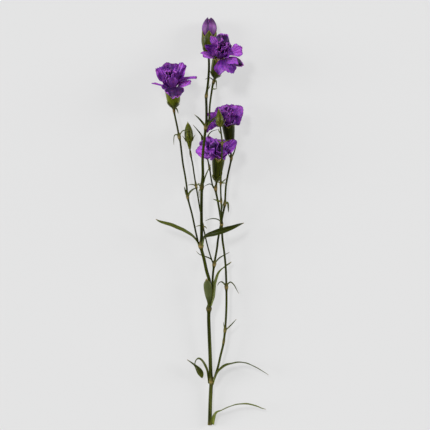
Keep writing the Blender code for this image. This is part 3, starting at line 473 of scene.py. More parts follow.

# %% [markdown]
# ## Routes
# Every stalk and leaf follows a route of a few points, listed where the plant bends. They are
# the solid model's own points. A Blender curve could smooth them, but a leaf also needs the points
# between, to spread its width from. So one function draws the smooth line for both.

# %% Smooth routes
def smooth_route(route, spacing):
    """Points on a smooth curve through all of the route's own points, about spacing mm apart."""
    points = [Vector(p) for p in route]
    ends = [2 * points[0] - points[1]] + points + [2 * points[-1] - points[-2]]
    path = []
    for before, start, end, after in zip(ends, ends[1:], ends[2:], ends[3:]):
        span = (end - start).length
        steps = max(1, round(span / spacing))
        leave = (end - before).normalized() * span
        arrive = (after - start).normalized() * span
        for i in range(steps):
            t = i / steps
            path.append(
                start * (2 * t**3 - 3 * t**2 + 1) + leave * (t**3 - 2 * t**2 + t)
                + end * (3 * t**2 - 2 * t**3) + arrive * (t**3 - t**2))
    path.append(points[-1])
    return path


bend = smooth_route([(0, 0, 0), (10, 0, 0), (18, 6, 0)], 1.0)
print("three points of a bend become", len(bend))


# %% Measures along a route
def along(path):
    """Distance of each point from the path's start."""
    lengths = [0.0]
    for a, b in zip(path, path[1:]):
        lengths.append(lengths[-1] + (b - a).length)
    return lengths


def tangents(path):
    """The path's direction at each point."""
    ends = [path[0]] + path + [path[-1]]
    return [(after - before).normalized() for before, after in zip(ends, ends[2:])]


def ease(x):
    """Rises smoothly from 0 to 1 while x does."""
    x = min(1.0, max(0.0, x))
    return x * x * (3 - 2 * x)


print("length of the bend, mm:", round(along(bend)[-1], 1))

# %% [markdown]
# ## Sheets and turned bodies
# A leaf or a petal is a thin sheet that thins towards its edge. A calyx or a bud is a round body.
# A Solidify modifier would give a sheet its thickness, but a petal's front and back differ, and
# its edge should be thinner than its middle. So each is built point by point as one closed skin,
# and every point carries its place on the map and its values for the finishes.

# %% Skins
EDGE_THINNING = 0.6  # share of a sheet's thickness that is lost at its edge
EDGE_CRISPNESS = 4  # how late that begins: 1 from the midline on, more for nearer the edge


class Skin:
    """The points, faces, map and values of one piece while it is being built."""

    def __init__(self):
        self.points, self.faces, self.map = [], [], []
        self.values = {"under": [], "mark": [], "tone": []}

    def point(self, place, u, v, under=0.0, mark=0.0, tone=0.0):
        """Adds a point with its place on the map and its values for the finish."""
        self.points.append(place)
        self.map.append((u, v))
        self.values["under"].append(under)
        self.values["mark"].append(mark)
        self.values["tone"].append(tone)

    def sheet(self, grid, thickness, marks=None, back_first=False, tone=0.0):
        """A closed thin sheet round a grid of points. tone is one value, or one for each row."""
        rows, columns = len(grid), len(grid[0])
        first, size = len(self.points), rows * columns
        for face in (-1, 1):
            for i in range(rows):
                for j in range(columns):
                    across = grid[i][min(j + 1, columns - 1)] - grid[i][max(j - 1, 0)]
                    down = grid[min(i + 1, rows - 1)][j] - grid[max(i - 1, 0)][j]
                    normal = down.cross(across).normalized()
                    u, v = j / (columns - 1), i / (rows - 1)
                    outermost = max(abs(2 * u - 1), v)
                    half = thickness / 2 * (1 - EDGE_THINNING * outermost ** EDGE_CRISPNESS)
                    mark = marks[i][j] if marks else 0.0
                    shade = tone[i] if isinstance(tone, list) else tone
                    under = float((face > 0) != back_first)
                    self.point(grid[i][j] + normal * half * face, u, v, under, mark, shade)
        for i in range(rows - 1):
            for j in range(columns - 1):
                a = first + i * columns + j
                b = a + columns
                self.faces.append((a, a + 1, b + 1, b))
                self.faces.append((size + b, size + b + 1, size + a + 1, size + a))
        edge = list(range(columns))
        edge += [i * columns + columns - 1 for i in range(1, rows)]
        edge += [(rows - 1) * columns + j for j in range(columns - 2, -1, -1)]
        edge += [i * columns for i in range(rows - 2, 0, -1)]
        for a, b in zip(edge, edge[1:] + edge[:1]):
            self.faces.append((first + b, first + a, first + size + a, first + size + b))

    def turned(self, rings, marks, tone=0.0):
        """A closed body of rings of points, with a fan over each end."""
        first, sides = len(self.points), len(rings[0])
        for i, ring in enumerate(rings):
            for k, place in enumerate(ring):
                self.point(place, k / sides, i / (len(rings) - 1), 0.0, marks[i][k], tone)
        for i in range(len(rings) - 1):
            for k in range(sides):
                a, b = first + i * sides + k, first + i * sides + (k + 1) % sides
                self.faces.append((a, b, b + sides, a + sides))
        foot, top = len(self.points), len(self.points) + 1
        last = first + (len(rings) - 1) * sides
        self.point(sum(rings[0], Vector()) / sides, 0.5, 0.0, 0.0, marks[0][0], tone)
        self.point(sum(rings[-1], Vector()) / sides, 0.5, 1.0, 0.0, marks[-1][0], tone)
        for k in range(sides):
            after = (k + 1) % sides
            self.faces.append((foot, first + after, first + k))
            self.faces.append((top, last + k, last + after))


sample = Skin()
sample.sheet([[Vector((x, y, 0)) for x in range(3)] for y in range(3)], 0.5)
print("a sheet of 3 by 3 points closes into", len(sample.faces), "faces")


# %% From a skin to a finished piece
def place_piece(name, mesh):
    """The mesh as a finished object at the origin."""
    obj = bpy.data.objects.new(name, mesh)
    bpy.context.scene.collection.objects.link(obj)
    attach(obj, "root")
    return obj


def finish_piece(skin, name, material, matrix=None):
    """A skin as a finished object, in metres, with its place in its mesh."""
    mesh = bpy.data.meshes.new(name)
    places = [matrix @ p for p in skin.points] if matrix else skin.points
    mesh.from_pydata([p * MM for p in places], [], skin.faces)
    flat = []
    for face in skin.faces:
        across = [skin.map[k][0] for k in face]
        wraps = max(across) - min(across) > 0.5  # this face closes a ring, from the map's end
        for k in face:
            u, v = skin.map[k]
            flat += [u + 1 if wraps and u < 0.5 else u, v]
    mesh.uv_layers.new(name="map").data.foreach_set("uv", flat)
    for value, numbers in skin.values.items():
        mesh.attributes.new(value, "FLOAT", "POINT").data.foreach_set("value", numbers)
    mesh.materials.append(material)
    mesh.shade_smooth()
    return place_piece(name, mesh)


print("values beside each point:", ", ".join(sample.values))

# %% [markdown]
# ## The plant's joints
# A carnation is built of joints: at each one the stalk swells, a pair of leaves clasps it, and
# side stalks leave it. Several pieces share each joint, so every joint's place is given once.
# The letters follow the order in which the joints were read from the photograph.

# %% Joints and feet
# The plain cut at the foot of the stem
CUT = (-0.6, -215.0, 2.2)
# Joints of the main stem
JOINT_A = (1.2, -169.0, 5.4)
JOINT_C = (-1.5, -92.4, 10.6)
JOINT_D = (-9.9, -26.0, 16.0)
JOINT_I = (-8.9, 35.6, 23.5)
JOINT_J = (-4.8, 97.7, 29.0)
# Joints of the lower bloom's stalk
JOINT_B = (15.4, -115.0, 9.8)
JOINT_G = (16.9, -69.6, 9.8)
JOINT_F = (11.8, -3.0, 11.0)
JOINT_K = (5.5, 34.0, 8.8)
# Joints of the other stalks
JOINT_E = (4.0, -45.6, 9.6)
JOINT_N = (15.2, 18.0, 6.0)
JOINT_H = (-23.7, 25.2, 17.0)
JOINT_L = (-14.9, 36.8, 13.0)
JOINT_P = (-7.7, -5.5, 12.3)
JOINT_M = (11.4, 20.7, 20.0)
# Feet of the blooms and buds
LEFT_BLOOM_FOOT = (-38.3, 119.2, 12.3)
TOP_BLOOM_FOOT = (4.8, 151.2, 12.0)
UPPER_RIGHT_BLOOM_FOOT = (21.2, 76.8, 6.1)
LOWER_BLOOM_FOOT = (6.5, 42.3, 9.4)
TOP_BUD_FOOT = (-1.8, 174.2, 9.5)
LEFT_BUD_FOOT = (-21.6, 76.4, 12.0)
RIGHT_BUD_FOOT = (10.4, 97.9, 41.0)
print("stem from the cut to the top bud, mm:", round((Vector(TOP_BUD_FOOT) - Vector(CUT)).length))

# %% [markdown]
# ## The stalks' routes
# The main stem runs from the cut to the top bud, and seven stalks leave it or each other. Each
# carries its own joints and the small leaves that stand at them. They are kept as plain
# lists of points, so that a bend is moved by changing one number.

# %% What a stalk is
class Leaflet(NamedTuple):
    """A small leaf of a stalk: its midline, its widest width, and how its face looks on the way."""

    route: list
    width: float
    face: tuple = (0, 0, 1)
    tip_face: tuple = (0, 0, 1)


class Stalk(NamedTuple):
    """A round stalk: its centre line, radius at foot and top, joints as (place, extra radius)."""

    route: list
    foot_radius: float
    top_radius: float
    joints: list
    leaflets: list


print("a stalk has:", ", ".join(Stalk._fields))

# %% Main stem
MAIN_STEM = Stalk(
    route=[
        CUT, (-0.1, -192.7, 3.7), (0.7, -174.5, 4.9), JOINT_A, (0.4, -160.0, 6.2),
        (-0.2, -141.8, 7.3), (-1.7, -103.4, 9.9), JOINT_C, (-0.9, -82.4, 11.4),
        (-0.6, -64.6, 12.9), (-4.0, -51.6, 13.8), (-6.8, -38.5, 14.8), JOINT_D,
        (-9.2, -16.0, 17.2), (-9.2, -2.6, 19.0), (-9.3, 12.7, 20.8), JOINT_I, (-7.8, 48.8, 25.3),
        (-8.0, 65.6, 27.2), (-6.8, 80.3, 28.5), JOINT_J, (-4.0, 106.0, 28.9), (-4.0, 118.0, 27.2),
        (-4.2, 130.7, 23.5), (-2.6, 143.3, 18.5), (-1.6, 156.7, 13.5), (-1.4, 167.0, 10.6),
        TOP_BUD_FOOT,
    ],
    foot_radius=2.1,
    top_radius=1.2,
    joints=[
        (CUT, 0.2), (JOINT_A, 1.1), (JOINT_C, 1.2), (JOINT_D, 1.3), (JOINT_I, 0.9),
        (JOINT_J, 0.7), ((-4.2, 130.7, 23.5), 0.5),
    ],
    leaflets=[
        Leaflet(
            [JOINT_I, (-6.8, 41.0, 24.5), (-5.9, 44.6, 25.6), (-2.5, 53.0, 28.0),
             (0.7, 59.5, 29.5)], 2.4, (-0.6, 0.3, 0.7), (-0.6, 0.3, 0.7)),
        Leaflet([JOINT_I, (-11.8, 38.3, 23.2), (-13.2, 40.6, 23.0)], 1.6),
        Leaflet(
            [JOINT_I, (-11.6, 32.0, 22.4), (-11.4, 24.4, 21.0)], 1.6, (-1, 0, 0.6), (-1, 0, 0.6)),
        Leaflet([JOINT_J, (-7.2, 101.9, 29.5), (-11.5, 107.0, 30.6), (-16.5, 111.5, 31.2)], 2.2),
        Leaflet([JOINT_J, (-2.4, 101.2, 30.4), (2.5, 106.0, 32.0), (8.0, 110.4, 33.0)], 2.6),
        Leaflet([(-3.3, 137.0, 21.0), (-1.2, 140.0, 21.6), (0.1, 143.6, 21.6)], 1.3),
    ],
)
print("Main stem:", len(MAIN_STEM.leaflets), "small leaves")

# %% Lower bloom's stalk
LOWER_BLOOM_STALK = Stalk(
    route=[
        (4.4, -164.6, 6.6), (6.0, -159.8, 7.3), (8.4, -151.7, 8.0), (10.8, -140.9, 8.6),
        (13.5, -129.7, 9.2), JOINT_B, (16.8, -92.9, 9.8), JOINT_G, (16.1, -47.6, 10.3),
        (14.5, -31.5, 10.7), (12.8, -19.4, 11.0), JOINT_F, (10.8, 3.6, 10.9), (9.6, 11.6, 10.3),
        (7.6, 22.7, 9.3), JOINT_K, (6.1, 38.4, 8.0), LOWER_BLOOM_FOOT,
    ],
    foot_radius=1.2,
    top_radius=1.1,
    joints=[
        ((13.5, -127.0, 9.3), 0.3), (JOINT_B, 0.6), (JOINT_G, 0.9), (JOINT_F, 0.8),
        (JOINT_K, 0.8),
    ],
    leaflets=[
        Leaflet(
            [JOINT_B, (14.4, -110.0, 10.6), (13.7, -105.5, 11.0)],
            1.5, (-1, 0, 0.5), (-1, 0, 0.5)),
        Leaflet([JOINT_B, (18.0, -112.5, 10.6), (23.0, -107.5, 11.2), (27.6, -102.4, 11.4)], 1.4),
        Leaflet(
            [JOINT_G, (14.6, -65.6, 10.6), (11.7, -63.4, 11.0), (8.9, -64.8, 10.6),
             (7.5, -67.6, 10.0)], 1.7, (0, 0.6, 0.8), (-0.6, 0.3, 0.8)),
        Leaflet(
            [JOINT_G, (18.8, -65.4, 10.8), (21.3, -63.8, 11.2), (24.9, -66.9, 11.0),
             (27.7, -72.0, 9.8), (30.1, -76.1, 8.7)], 1.6, (0, 0.6, 0.8), (0.6, 0.3, 0.8)),
        Leaflet(
            [JOINT_F, (10.4, 0.2, 12.4), (7.6, 2.2, 12.9), (3.2, 3.0, 13.0), (-1.3, 2.3, 12.8),
             (-5.4, 0.4, 12.4)], 1.5, (0, 0.6, 0.8), (0, 0.6, 0.8)),
    ],
)
print("Lower bloom's stalk:", len(LOWER_BLOOM_STALK.leaflets), "small leaves")

# %% Upper right bloom's stalk
RIGHT_BLOOM_STALK = Stalk(
    route=[
        (1.9, -73.5, 10.6), (2.2, -65.6, 10.6), (2.8, -55.5, 10.3), JOINT_E, (6.8, -29.5, 8.7),
        (8.2, -18.4, 7.9), (11.2, -2.6, 6.8), (13.0, 6.7, 6.3), JOINT_N, (16.4, 36.8, 5.2),
        (18.4, 48.8, 4.8), (22.1, 66.4, 4.6), (21.8, 70.6, 4.5), (21.4, 74.1, 5.1),
        UPPER_RIGHT_BLOOM_FOOT,
    ],
    foot_radius=1.2,
    top_radius=1.0,
    joints=[(JOINT_E, 1.0), (JOINT_N, 0.7), ((22.1, 66.4, 4.6), 0.6)],
    leaflets=[
        Leaflet(
            [JOINT_E, (7.0, -41.0, 9.4), (9.4, -38.5, 8.8), (13.7, -35.9, 7.4),
             (20.5, -32.2, 6.8)], 1.6),
        Leaflet(
            [JOINT_N, (17.7, 19.8, 6.8), (18.7, 16.0, 6.6), (19.2, 9.5, 5.6)],
            2.4, (0.5, 0, 0.9), (0.5, 0, 0.9)),
        Leaflet(
            [(14.7, 18.6, 6.4), (13.2, 17.8, 6.8), (12.8, 12.4, 6.2)],
            1.5, (-1, 0, 0.5), (-1, 0, 0.5)),
        Leaflet([(22.1, 66.4, 4.6), (25.0, 73.0, 5.4), (27.2, 79.5, 6.4)], 1.7),
        Leaflet([(22.1, 66.4, 4.6), (19.8, 69.4, 5.8), (18.8, 72.0, 6.4)], 1.5),
    ],
)
print("Upper right bloom's stalk:", len(RIGHT_BLOOM_STALK.leaflets), "small leaves")

# %% Left bloom's stalk
LEFT_BLOOM_STALK = Stalk(
    route=[
        (-12.6, -22.6, 16.6), (-13.6, -18.0, 16.9), (-15.3, -10.8, 17.2), (-19.1, 7.2, 17.3),
        JOINT_H, (-24.8, 36.8, 16.9), (-26.6, 48.8, 16.3), (-28.8, 61.0, 15.6),
        (-31.5, 83.4, 14.3), (-32.6, 88.4, 14.0), (-34.9, 100.1, 12.8), (-37.4, 111.8, 11.4),
        (-38.2, 116.4, 11.4), LEFT_BLOOM_FOOT,
    ],
    foot_radius=0.95,
    top_radius=1.0,
    joints=[(JOINT_H, 0.7), ((-32.6, 88.4, 14.0), 0.9), ((-38.2, 116.4, 11.4), 0.5)],
    leaflets=[
        Leaflet(
            [JOINT_H, (-25.4, 29.5, 17.8), (-27.4, 36.8, 18.6)],
            2.4, (0.4, 0, 0.9), (0.4, 0, 0.9)),
        Leaflet(
            [JOINT_H, (-21.9, 29.8, 18.2), (-19.5, 32.6, 18.8), (-15.8, 34.6, 19.0),
             (-12.3, 35.4, 18.6)], 2.3, (0, 0.6, 0.8), (0, 0.6, 0.8)),
        Leaflet(
            [(-32.6, 88.4, 14.0), (-34.6, 90.8, 14.8), (-37.2, 90.6, 15.2), (-38.2, 87.0, 15.2),
             (-38.3, 80.5, 14.6)], 1.6, (-0.3, 0.6, 0.8), (-1, 0, 0.6)),
        Leaflet(
            [(-32.6, 88.4, 14.0), (-31.2, 92.2, 15.8), (-28.6, 95.0, 17.8), (-24.2, 96.0, 18.6),
             (-20.2, 95.4, 18.6)], 1.6, (0, 0.6, 0.8), (0, 0.6, 0.8)),
        Leaflet(
            [(-37.9, 119.0, 12.6), (-35.4, 117.8, 13.2), (-33.6, 113.2, 13.4)],
            2.6, (1, 0, 0.8), (1, 0, 0.8)),
    ],
)
print("Left bloom's stalk:", len(LEFT_BLOOM_STALK.leaflets), "small leaves")

# %% Left bud's stalk
LEFT_BUD_STALK = Stalk(
    route=[
        (2.15, -42.2, 10.1), (-1.3, -31.5, 10.6), (-4.0, -21.4, 11.2), (-6.1, -12.1, 11.9),
        JOINT_P, (-9.2, 4.7, 12.7), (-10.9, 12.7, 12.9), (-12.5, 22.7, 13.0), JOINT_L,
        (-16.9, 48.8, 12.8), (-18.5, 59.6, 12.5), (-20.6, 70.0, 12.1), LEFT_BUD_FOOT,
    ],
    foot_radius=0.75,
    top_radius=0.8,
    joints=[(JOINT_P, 0.6), (JOINT_L, 0.7), ((-20.6, 70.0, 12.1), 0.4)],
    leaflets=[
        Leaflet(
            [(1.0, -40.0, 10.3), (-3.3, -37.7, 10.2), (-11.2, -34.7, 9.9), (-14.9, -31.3, 9.9)],
            1.7, (0, 0.6, 0.8), (0, 0.6, 0.8)),
        Leaflet(
            [JOINT_P, (-11.0, -4.4, 12.6), (-15.3, -5.3, 12.4)],
            1.4, (0, 0.6, 0.8), (0, 0.6, 0.8)),
        Leaflet(
            [JOINT_P, (-5.4, -5.6, 12.6), (-3.7, -7.5, 12.4)], 1.4, (0, 0.6, 0.8), (0, 0.6, 0.8)),
        Leaflet(
            [JOINT_L, (-18.5, 38.8, 13.4), (-23.7, 38.2, 13.2)],
            1.4, (0, 0.6, 0.8), (0, 0.6, 0.8)),
        Leaflet(
            [JOINT_L, (-13.0, 38.9, 13.6), (-10.7, 40.0, 13.8)],
            1.4, (0, 0.6, 0.8), (0, 0.6, 0.8)),
    ],
)
print("Left bud's stalk:", len(LEFT_BUD_STALK.leaflets), "small leaves")

# %% Right bud's stalk
RIGHT_BUD_STALK = Stalk(
    route=[
        (12.4, -0.9, 13.7), (12.0, 4.0, 15.0), (11.6, 12.7, 17.4), JOINT_M, (11.0, 28.0, 23.2),
        (10.8, 39.8, 28.5), (11.7, 55.9, 34.5), (12.0, 67.9, 37.6), (12.4, 81.0, 39.8),
        (11.4, 90.6, 40.8), RIGHT_BUD_FOOT,
    ],
    foot_radius=0.85,
    top_radius=0.8,
    joints=[(JOINT_M, 0.5), ((10.8, 39.8, 28.5), 0.5), ((12.4, 81.0, 39.8), 0.5)],
    leaflets=[
        Leaflet([JOINT_M, (7.5, 21.9, 21.2), (2.7, 23.5, 21.4)], 1.9),
        Leaflet([(10.8, 39.8, 28.5), (13.7, 42.2, 29.8), (16.8, 45.0, 30.2)], 1.3),
        Leaflet([(10.8, 39.8, 28.5), (14.0, 40.2, 29.2), (16.8, 39.7, 29.2)], 1.3),
        Leaflet([(10.8, 39.8, 28.5), (8.8, 41.0, 29.4), (7.4, 40.6, 29.4)], 1.3),
        Leaflet([(12.4, 81.0, 39.8), (9.0, 82.8, 40.8), (6.4, 84.4, 41.0)], 1.3),
        Leaflet([(12.4, 81.0, 39.8), (16.0, 83.3, 40.6), (21.6, 84.9, 40.8)], 1.4),
        Leaflet([(11.4, 90.6, 40.8), (9.2, 93.4, 41.6), (8.4, 96.4, 42.0)], 1.3),
    ],
)
print("Right bud's stalk:", len(RIGHT_BUD_STALK.leaflets), "small leaves")

# %% Top bloom's stalk
TOP_BLOOM_STALK = Stalk(
    route=[
        (-1.5, 105.8, 30.7), (-0.9, 113.0, 29.8), (-0.5, 120.8, 27.4), (0.3, 127.9, 23.6),
        (1.4, 136.0, 17.8), (2.3, 142.2, 13.4), (3.3, 146.2, 11.0), (4.2, 148.8, 10.7),
        TOP_BLOOM_FOOT,
    ],
    foot_radius=0.9,
    top_radius=1.1,
    joints=[((3.3, 146.2, 11.0), 0.7)],
    leaflets=[
        Leaflet(
            [(4.0, 149.0, 11.6), (5.8, 147.6, 13.0), (6.5, 139.8, 14.0)],
            2.4, (1, 0, 0.7), (1, 0, 0.7)),
        Leaflet(
            [(3.4, 147.6, 10.8), (0.9, 150.4, 11.6), (-2.2, 151.0, 11.8), (-5.6, 149.2, 11.6)],
            1.4, (0, 0.6, 0.8), (0, 0.6, 0.8)),
        Leaflet([(1.8, 139.4, 16.8), (4.2, 138.8, 17.4), (7.1, 139.4, 17.2)], 1.4),
    ],
)
print("Top bloom's stalk:", len(TOP_BLOOM_STALK.leaflets), "small leaves")

# %% Side shoot
SIDE_SHOOT = Stalk(
    route=[
        (3.25, 35.7, 8.9), (1.4, 42.0, 9.6), (-0.8, 55.9, 10.4), (-2.8, 65.6, 9.6),
        (-4.5, 76.0, 8.8), (-5.8, 84.0, 8.6), (-6.3, 90.0, 9.0),
    ],
    foot_radius=0.8,
    top_radius=0.7,
    joints=[((-0.8, 55.9, 10.4), 0.5), ((-4.9, 78.0, 8.7), 0.7)],
    leaflets=[
        Leaflet(
            [(2.1, 38.0, 9.2), (-0.6, 39.4, 9.8), (-3.7, 38.4, 9.8), (-6.3, 36.9, 9.4)],
            1.4, (0, 0.6, 0.8), (0, 0.6, 0.8)),
        Leaflet([(-5.8, 84.0, 8.6), (-10.2, 92.0, 10.0), (-18.4, 101.8, 12.4)], 2.0),
        Leaflet(
            [(-5.8, 84.0, 8.6), (-3.2, 89.0, 9.6), (1.0, 94.4, 9.6), (8.0, 97.0, 8.6)],
            1.6, (-0.3, 0.6, 0.8), (0, 0.6, 0.8)),
        Leaflet(
            [(-4.9, 78.0, 8.7), (-8.4, 84.6, 10.2), (-9.6, 92.5, 11.2)],
            2.6, (0.3, 0, 1), (0.3, 0, 1)),
        Leaflet(
            [(-4.9, 78.0, 8.7), (-2.6, 85.0, 10.0), (-1.4, 92.5, 10.6)],
            2.4, (-0.3, 0, 1), (-0.3, 0, 1)),
    ],
)
print("Side shoot:", len(SIDE_SHOOT.leaflets), "small leaves")

# %% All the stalks
STALKS = {
    "main_stem": MAIN_STEM,
    "lower_bloom_stalk": LOWER_BLOOM_STALK,
    "upper_right_bloom_stalk": RIGHT_BLOOM_STALK,
    "left_bloom_stalk": LEFT_BLOOM_STALK,
    "left_bud_stalk": LEFT_BUD_STALK,
    "right_bud_stalk": RIGHT_BUD_STALK,
    "top_bloom_stalk": TOP_BLOOM_STALK,
    "side_shoot": SIDE_SHOOT,
}
print("stalks:", len(STALKS), "joints:", sum(len(stalk.joints) for stalk in STALKS.values()))

# %% [markdown]
# ## Stalks
# A carnation stalk is a smooth green rod that swells into a pale tan ring wherever a pair of leaves
# leaves it. Above the ring the leaves' joined feet sheathe the stalk for a few millimetres.
# A curve with a bevel would give a rod, but not its ring colour. So a Geometry Nodes tree
# sweeps a round profile along each route, reads the width and the ring from the route's points,
# and passes both on to the mesh. One tree serves all eight stalks.

# %% A tree that sweeps a stalk along its route
def make_sweep_tree():
    """The tree, and the identifiers of its inputs for the sides and the finish."""
    tree = bpy.data.node_groups.new("sweep_stalk", "GeometryNodeTree")
    new_socket = tree.interface.new_socket
    new_socket("Geometry", in_out="INPUT", socket_type="NodeSocketGeometry")
    sides = new_socket("Sides", in_out="INPUT", socket_type="NodeSocketInt")
    finish = new_socket("Finish", in_out="INPUT", socket_type="NodeSocketMaterial")
    new_socket("Geometry", in_out="OUTPUT", socket_type="NodeSocketGeometry")
    given = add_node(tree, "NodeGroupInput").outputs
    curve = add_node(tree, "GeometryNodeMeshToCurve", {"Mesh": given["Geometry"]}).outputs[0]
    run = add_node(tree, "GeometryNodeSplineParameter").outputs["Length"]
    curve = add_node(
        tree, "GeometryNodeStoreNamedAttribute", {"Geometry": curve, "Name": "run", "Value": run},
        data_type="FLOAT").outputs[0]
    radius = add_node(
        tree, "GeometryNodeInputNamedAttribute", {"Name": "half_width"},
        data_type="FLOAT").outputs[0]
    ring = add_node(
        tree, "GeometryNodeCurvePrimitiveCircle",
        {"Resolution": given["Sides"], "Radius": 1.0}).outputs[0]
    place = add_node(tree, "GeometryNodeInputPosition").outputs[0]
    ring = add_node(
        tree, "GeometryNodeStoreNamedAttribute",
        {"Geometry": ring, "Name": "round", "Value": place},
        data_type="FLOAT_VECTOR").outputs[0]
    swept = add_node(
        tree, "GeometryNodeCurveToMesh",
        {"Curve": curve, "Profile Curve": ring, "Scale": radius, "Fill Caps": True}).outputs[0]
    smooth = add_node(tree, "GeometryNodeSetShadeSmooth", {"Geometry": swept}).outputs[0]
    real = add_node(tree, "GeometryNodeRealizeInstances", {"Geometry": smooth}).outputs[0]
    done = add_node(
        tree, "GeometryNodeSetMaterial", {"Geometry": real, "Material": given["Finish"]}).outputs[0]
    add_node(tree, "NodeGroupOutput", {"Geometry": done})
    return tree, sides.identifier, finish.identifier


sweep_tree, SIDES_INPUT, FINISH_INPUT = make_sweep_tree()
print("sweep tree:", len(sweep_tree.nodes), "nodes")

# %% Where a side stalk is rooted
ROOT_REACH = 20.0  # a side stalk's foot lies this near above its joint


def nearest_joint(foot, joints):
    """The place of the joint that lies nearest to a foot."""
    return min((Vector(place) for place, _ in joints), key=lambda place: (place - foot).length)


def rooted_route(stalk):
    """The stalk's route, begun inside the joint that carries it, which lies below its foot."""
    foot = Vector(stalk.route[0])
    below = [
        joint for other in STALKS.values() if other is not stalk
        for joint in other.joints if joint[0][1] < foot.y]
    if not below:
        return stalk.route
    joint = nearest_joint(foot, below)
    return ([joint] if (joint - foot).length < ROOT_REACH else []) + list(stalk.route)


rooted = sum(len(rooted_route(stalk)) > len(stalk.route) for stalk in STALKS.values())
print("stalks rooted in a joint:", rooted)

# %% Swelling and ring of a joint
RING_STEP = 1.3  # mm between the rings of a rod
SWELL_BELOW, SWELL_ABOVE = 2.2, 2.9  # how far a joint's swelling reaches down and up
SHEATH_LENGTH = 5.0
SHEATH_DEPTH = 0.28
SHEATH_FADE = 1.5
LEAFY_JOINTS = (JOINT_C, JOINT_I)  # the leaves' feet cover the rings of these
COVERED = 0.3  # how much of such a ring still shows


def ring_mark(off, swelling):
    """The tan ring and the paler sheath above it, at a distance off above the joint."""
    ring = 0.8 * math.exp(-((off + 0.3) / 1.3) ** 2) + 0.2 * math.exp(-((off - 2.5) / 2.2) ** 2)
    return ring * min(1.0, 0.3 + 0.55 * swelling)


def stalk_line(stalk):
    """The stalk's centres, radii and ring marks: 1 on a joint's ring, 0 between joints."""
    path = smooth_route(rooted_route(stalk), RING_STEP)
    length = along(path)
    radii, marks, joints = [], [], []
    for place, swelling in stalk.joints:
        near = min(range(len(path)), key=lambda i: (path[i] - Vector(place)).length)
        joints.append((length[near], swelling, COVERED if place in LEAFY_JOINTS else 1.0))
    for distance in length:
        share = distance / length[-1]
        radius = stalk.foot_radius + (stalk.top_radius - stalk.foot_radius) * share
        mark = 0.0
        for joint, swelling, bare in joints:
            off = distance - joint
            reach = SWELL_BELOW if off < 0 else SWELL_ABOVE
            radius += swelling * math.exp(-((off / reach) ** 2))
            sheath = ease((SHEATH_LENGTH - off) / SHEATH_FADE) * ease(off)
            radius += SHEATH_DEPTH * sheath * min(1.0, swelling)
            mark = max(mark, ring_mark(off, swelling) * bare)
        radii.append(radius)
        marks.append(min(1.0, mark))
    return path, radii, marks


print("thickest place of the main stem, mm:", round(2 * max(stalk_line(MAIN_STEM)[1]), 1))

# %% Sweep each stalk
ROD_SIDES = 20


def sweep(name, line, material):
    """A plain mesh swept along a line of points with the tree above."""
    path, radii, marks = line
    mesh = bpy.data.meshes.new(name + "_line")
    mesh.from_pydata([p * MM for p in path], [(i, i + 1) for i in range(len(path) - 1)], [])
    widths = mesh.attributes.new("half_width", "FLOAT", "POINT")
    widths.data.foreach_set("value", [radius * MM for radius in radii])
    mesh.attributes.new("mark", "FLOAT", "POINT").data.foreach_set("value", marks)
    guide = bpy.data.objects.new(name + "_line", mesh)
    bpy.context.scene.collection.objects.link(guide)
    modifier = guide.modifiers.new("sweep", "NODES")
    modifier.node_group = sweep_tree
    modifier[SIDES_INPUT] = ROD_SIDES
    modifier[FINISH_INPUT] = material
    evaluated = guide.evaluated_get(bpy.context.evaluated_depsgraph_get())
    swept = bpy.data.meshes.new_from_object(evaluated)
    swept.name = name
    guide.modifiers.clear()
    bpy.data.objects.remove(guide)
    bpy.data.meshes.remove(mesh)
    return place_piece(name, swept)


for node, stalk in STALKS.items():
    rod = sweep(node + "_rod", stalk_line(stalk), stalk_finish)
    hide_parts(node)
    print(rod.name, len(rod.data.polygons), "faces")

# %% [markdown]
# ## Long leaves
# A carnation leaf is a long narrow blade, channelled along its midrib, with grey wax on the green
# and a tip that dries to tan. Seven long ones stand in pairs at the stem's joints. They
# bend and twist, so a leaf is measured at stations: a place, the width there and its tilt. A flat
# blade bent with modifiers would take fewer numbers, but could not follow these twists.

# %% What a long leaf is
class Blade(NamedTuple):
    """A leaf that bends and twists: one run of stations, or two where it folds back over itself.

    Each station is a place, the width there, and its tilt: 0 shows the camera an edge and 90 the
    whole upper face. hand is 1 for a leaf on the stem's right, whose upper face turns to the left
    of its way, and -1 for a left one. tone is how light it is.
    """

    runs: list
    hand: int
    tone: float


print("a long leaf has:", ", ".join(Blade._fields))

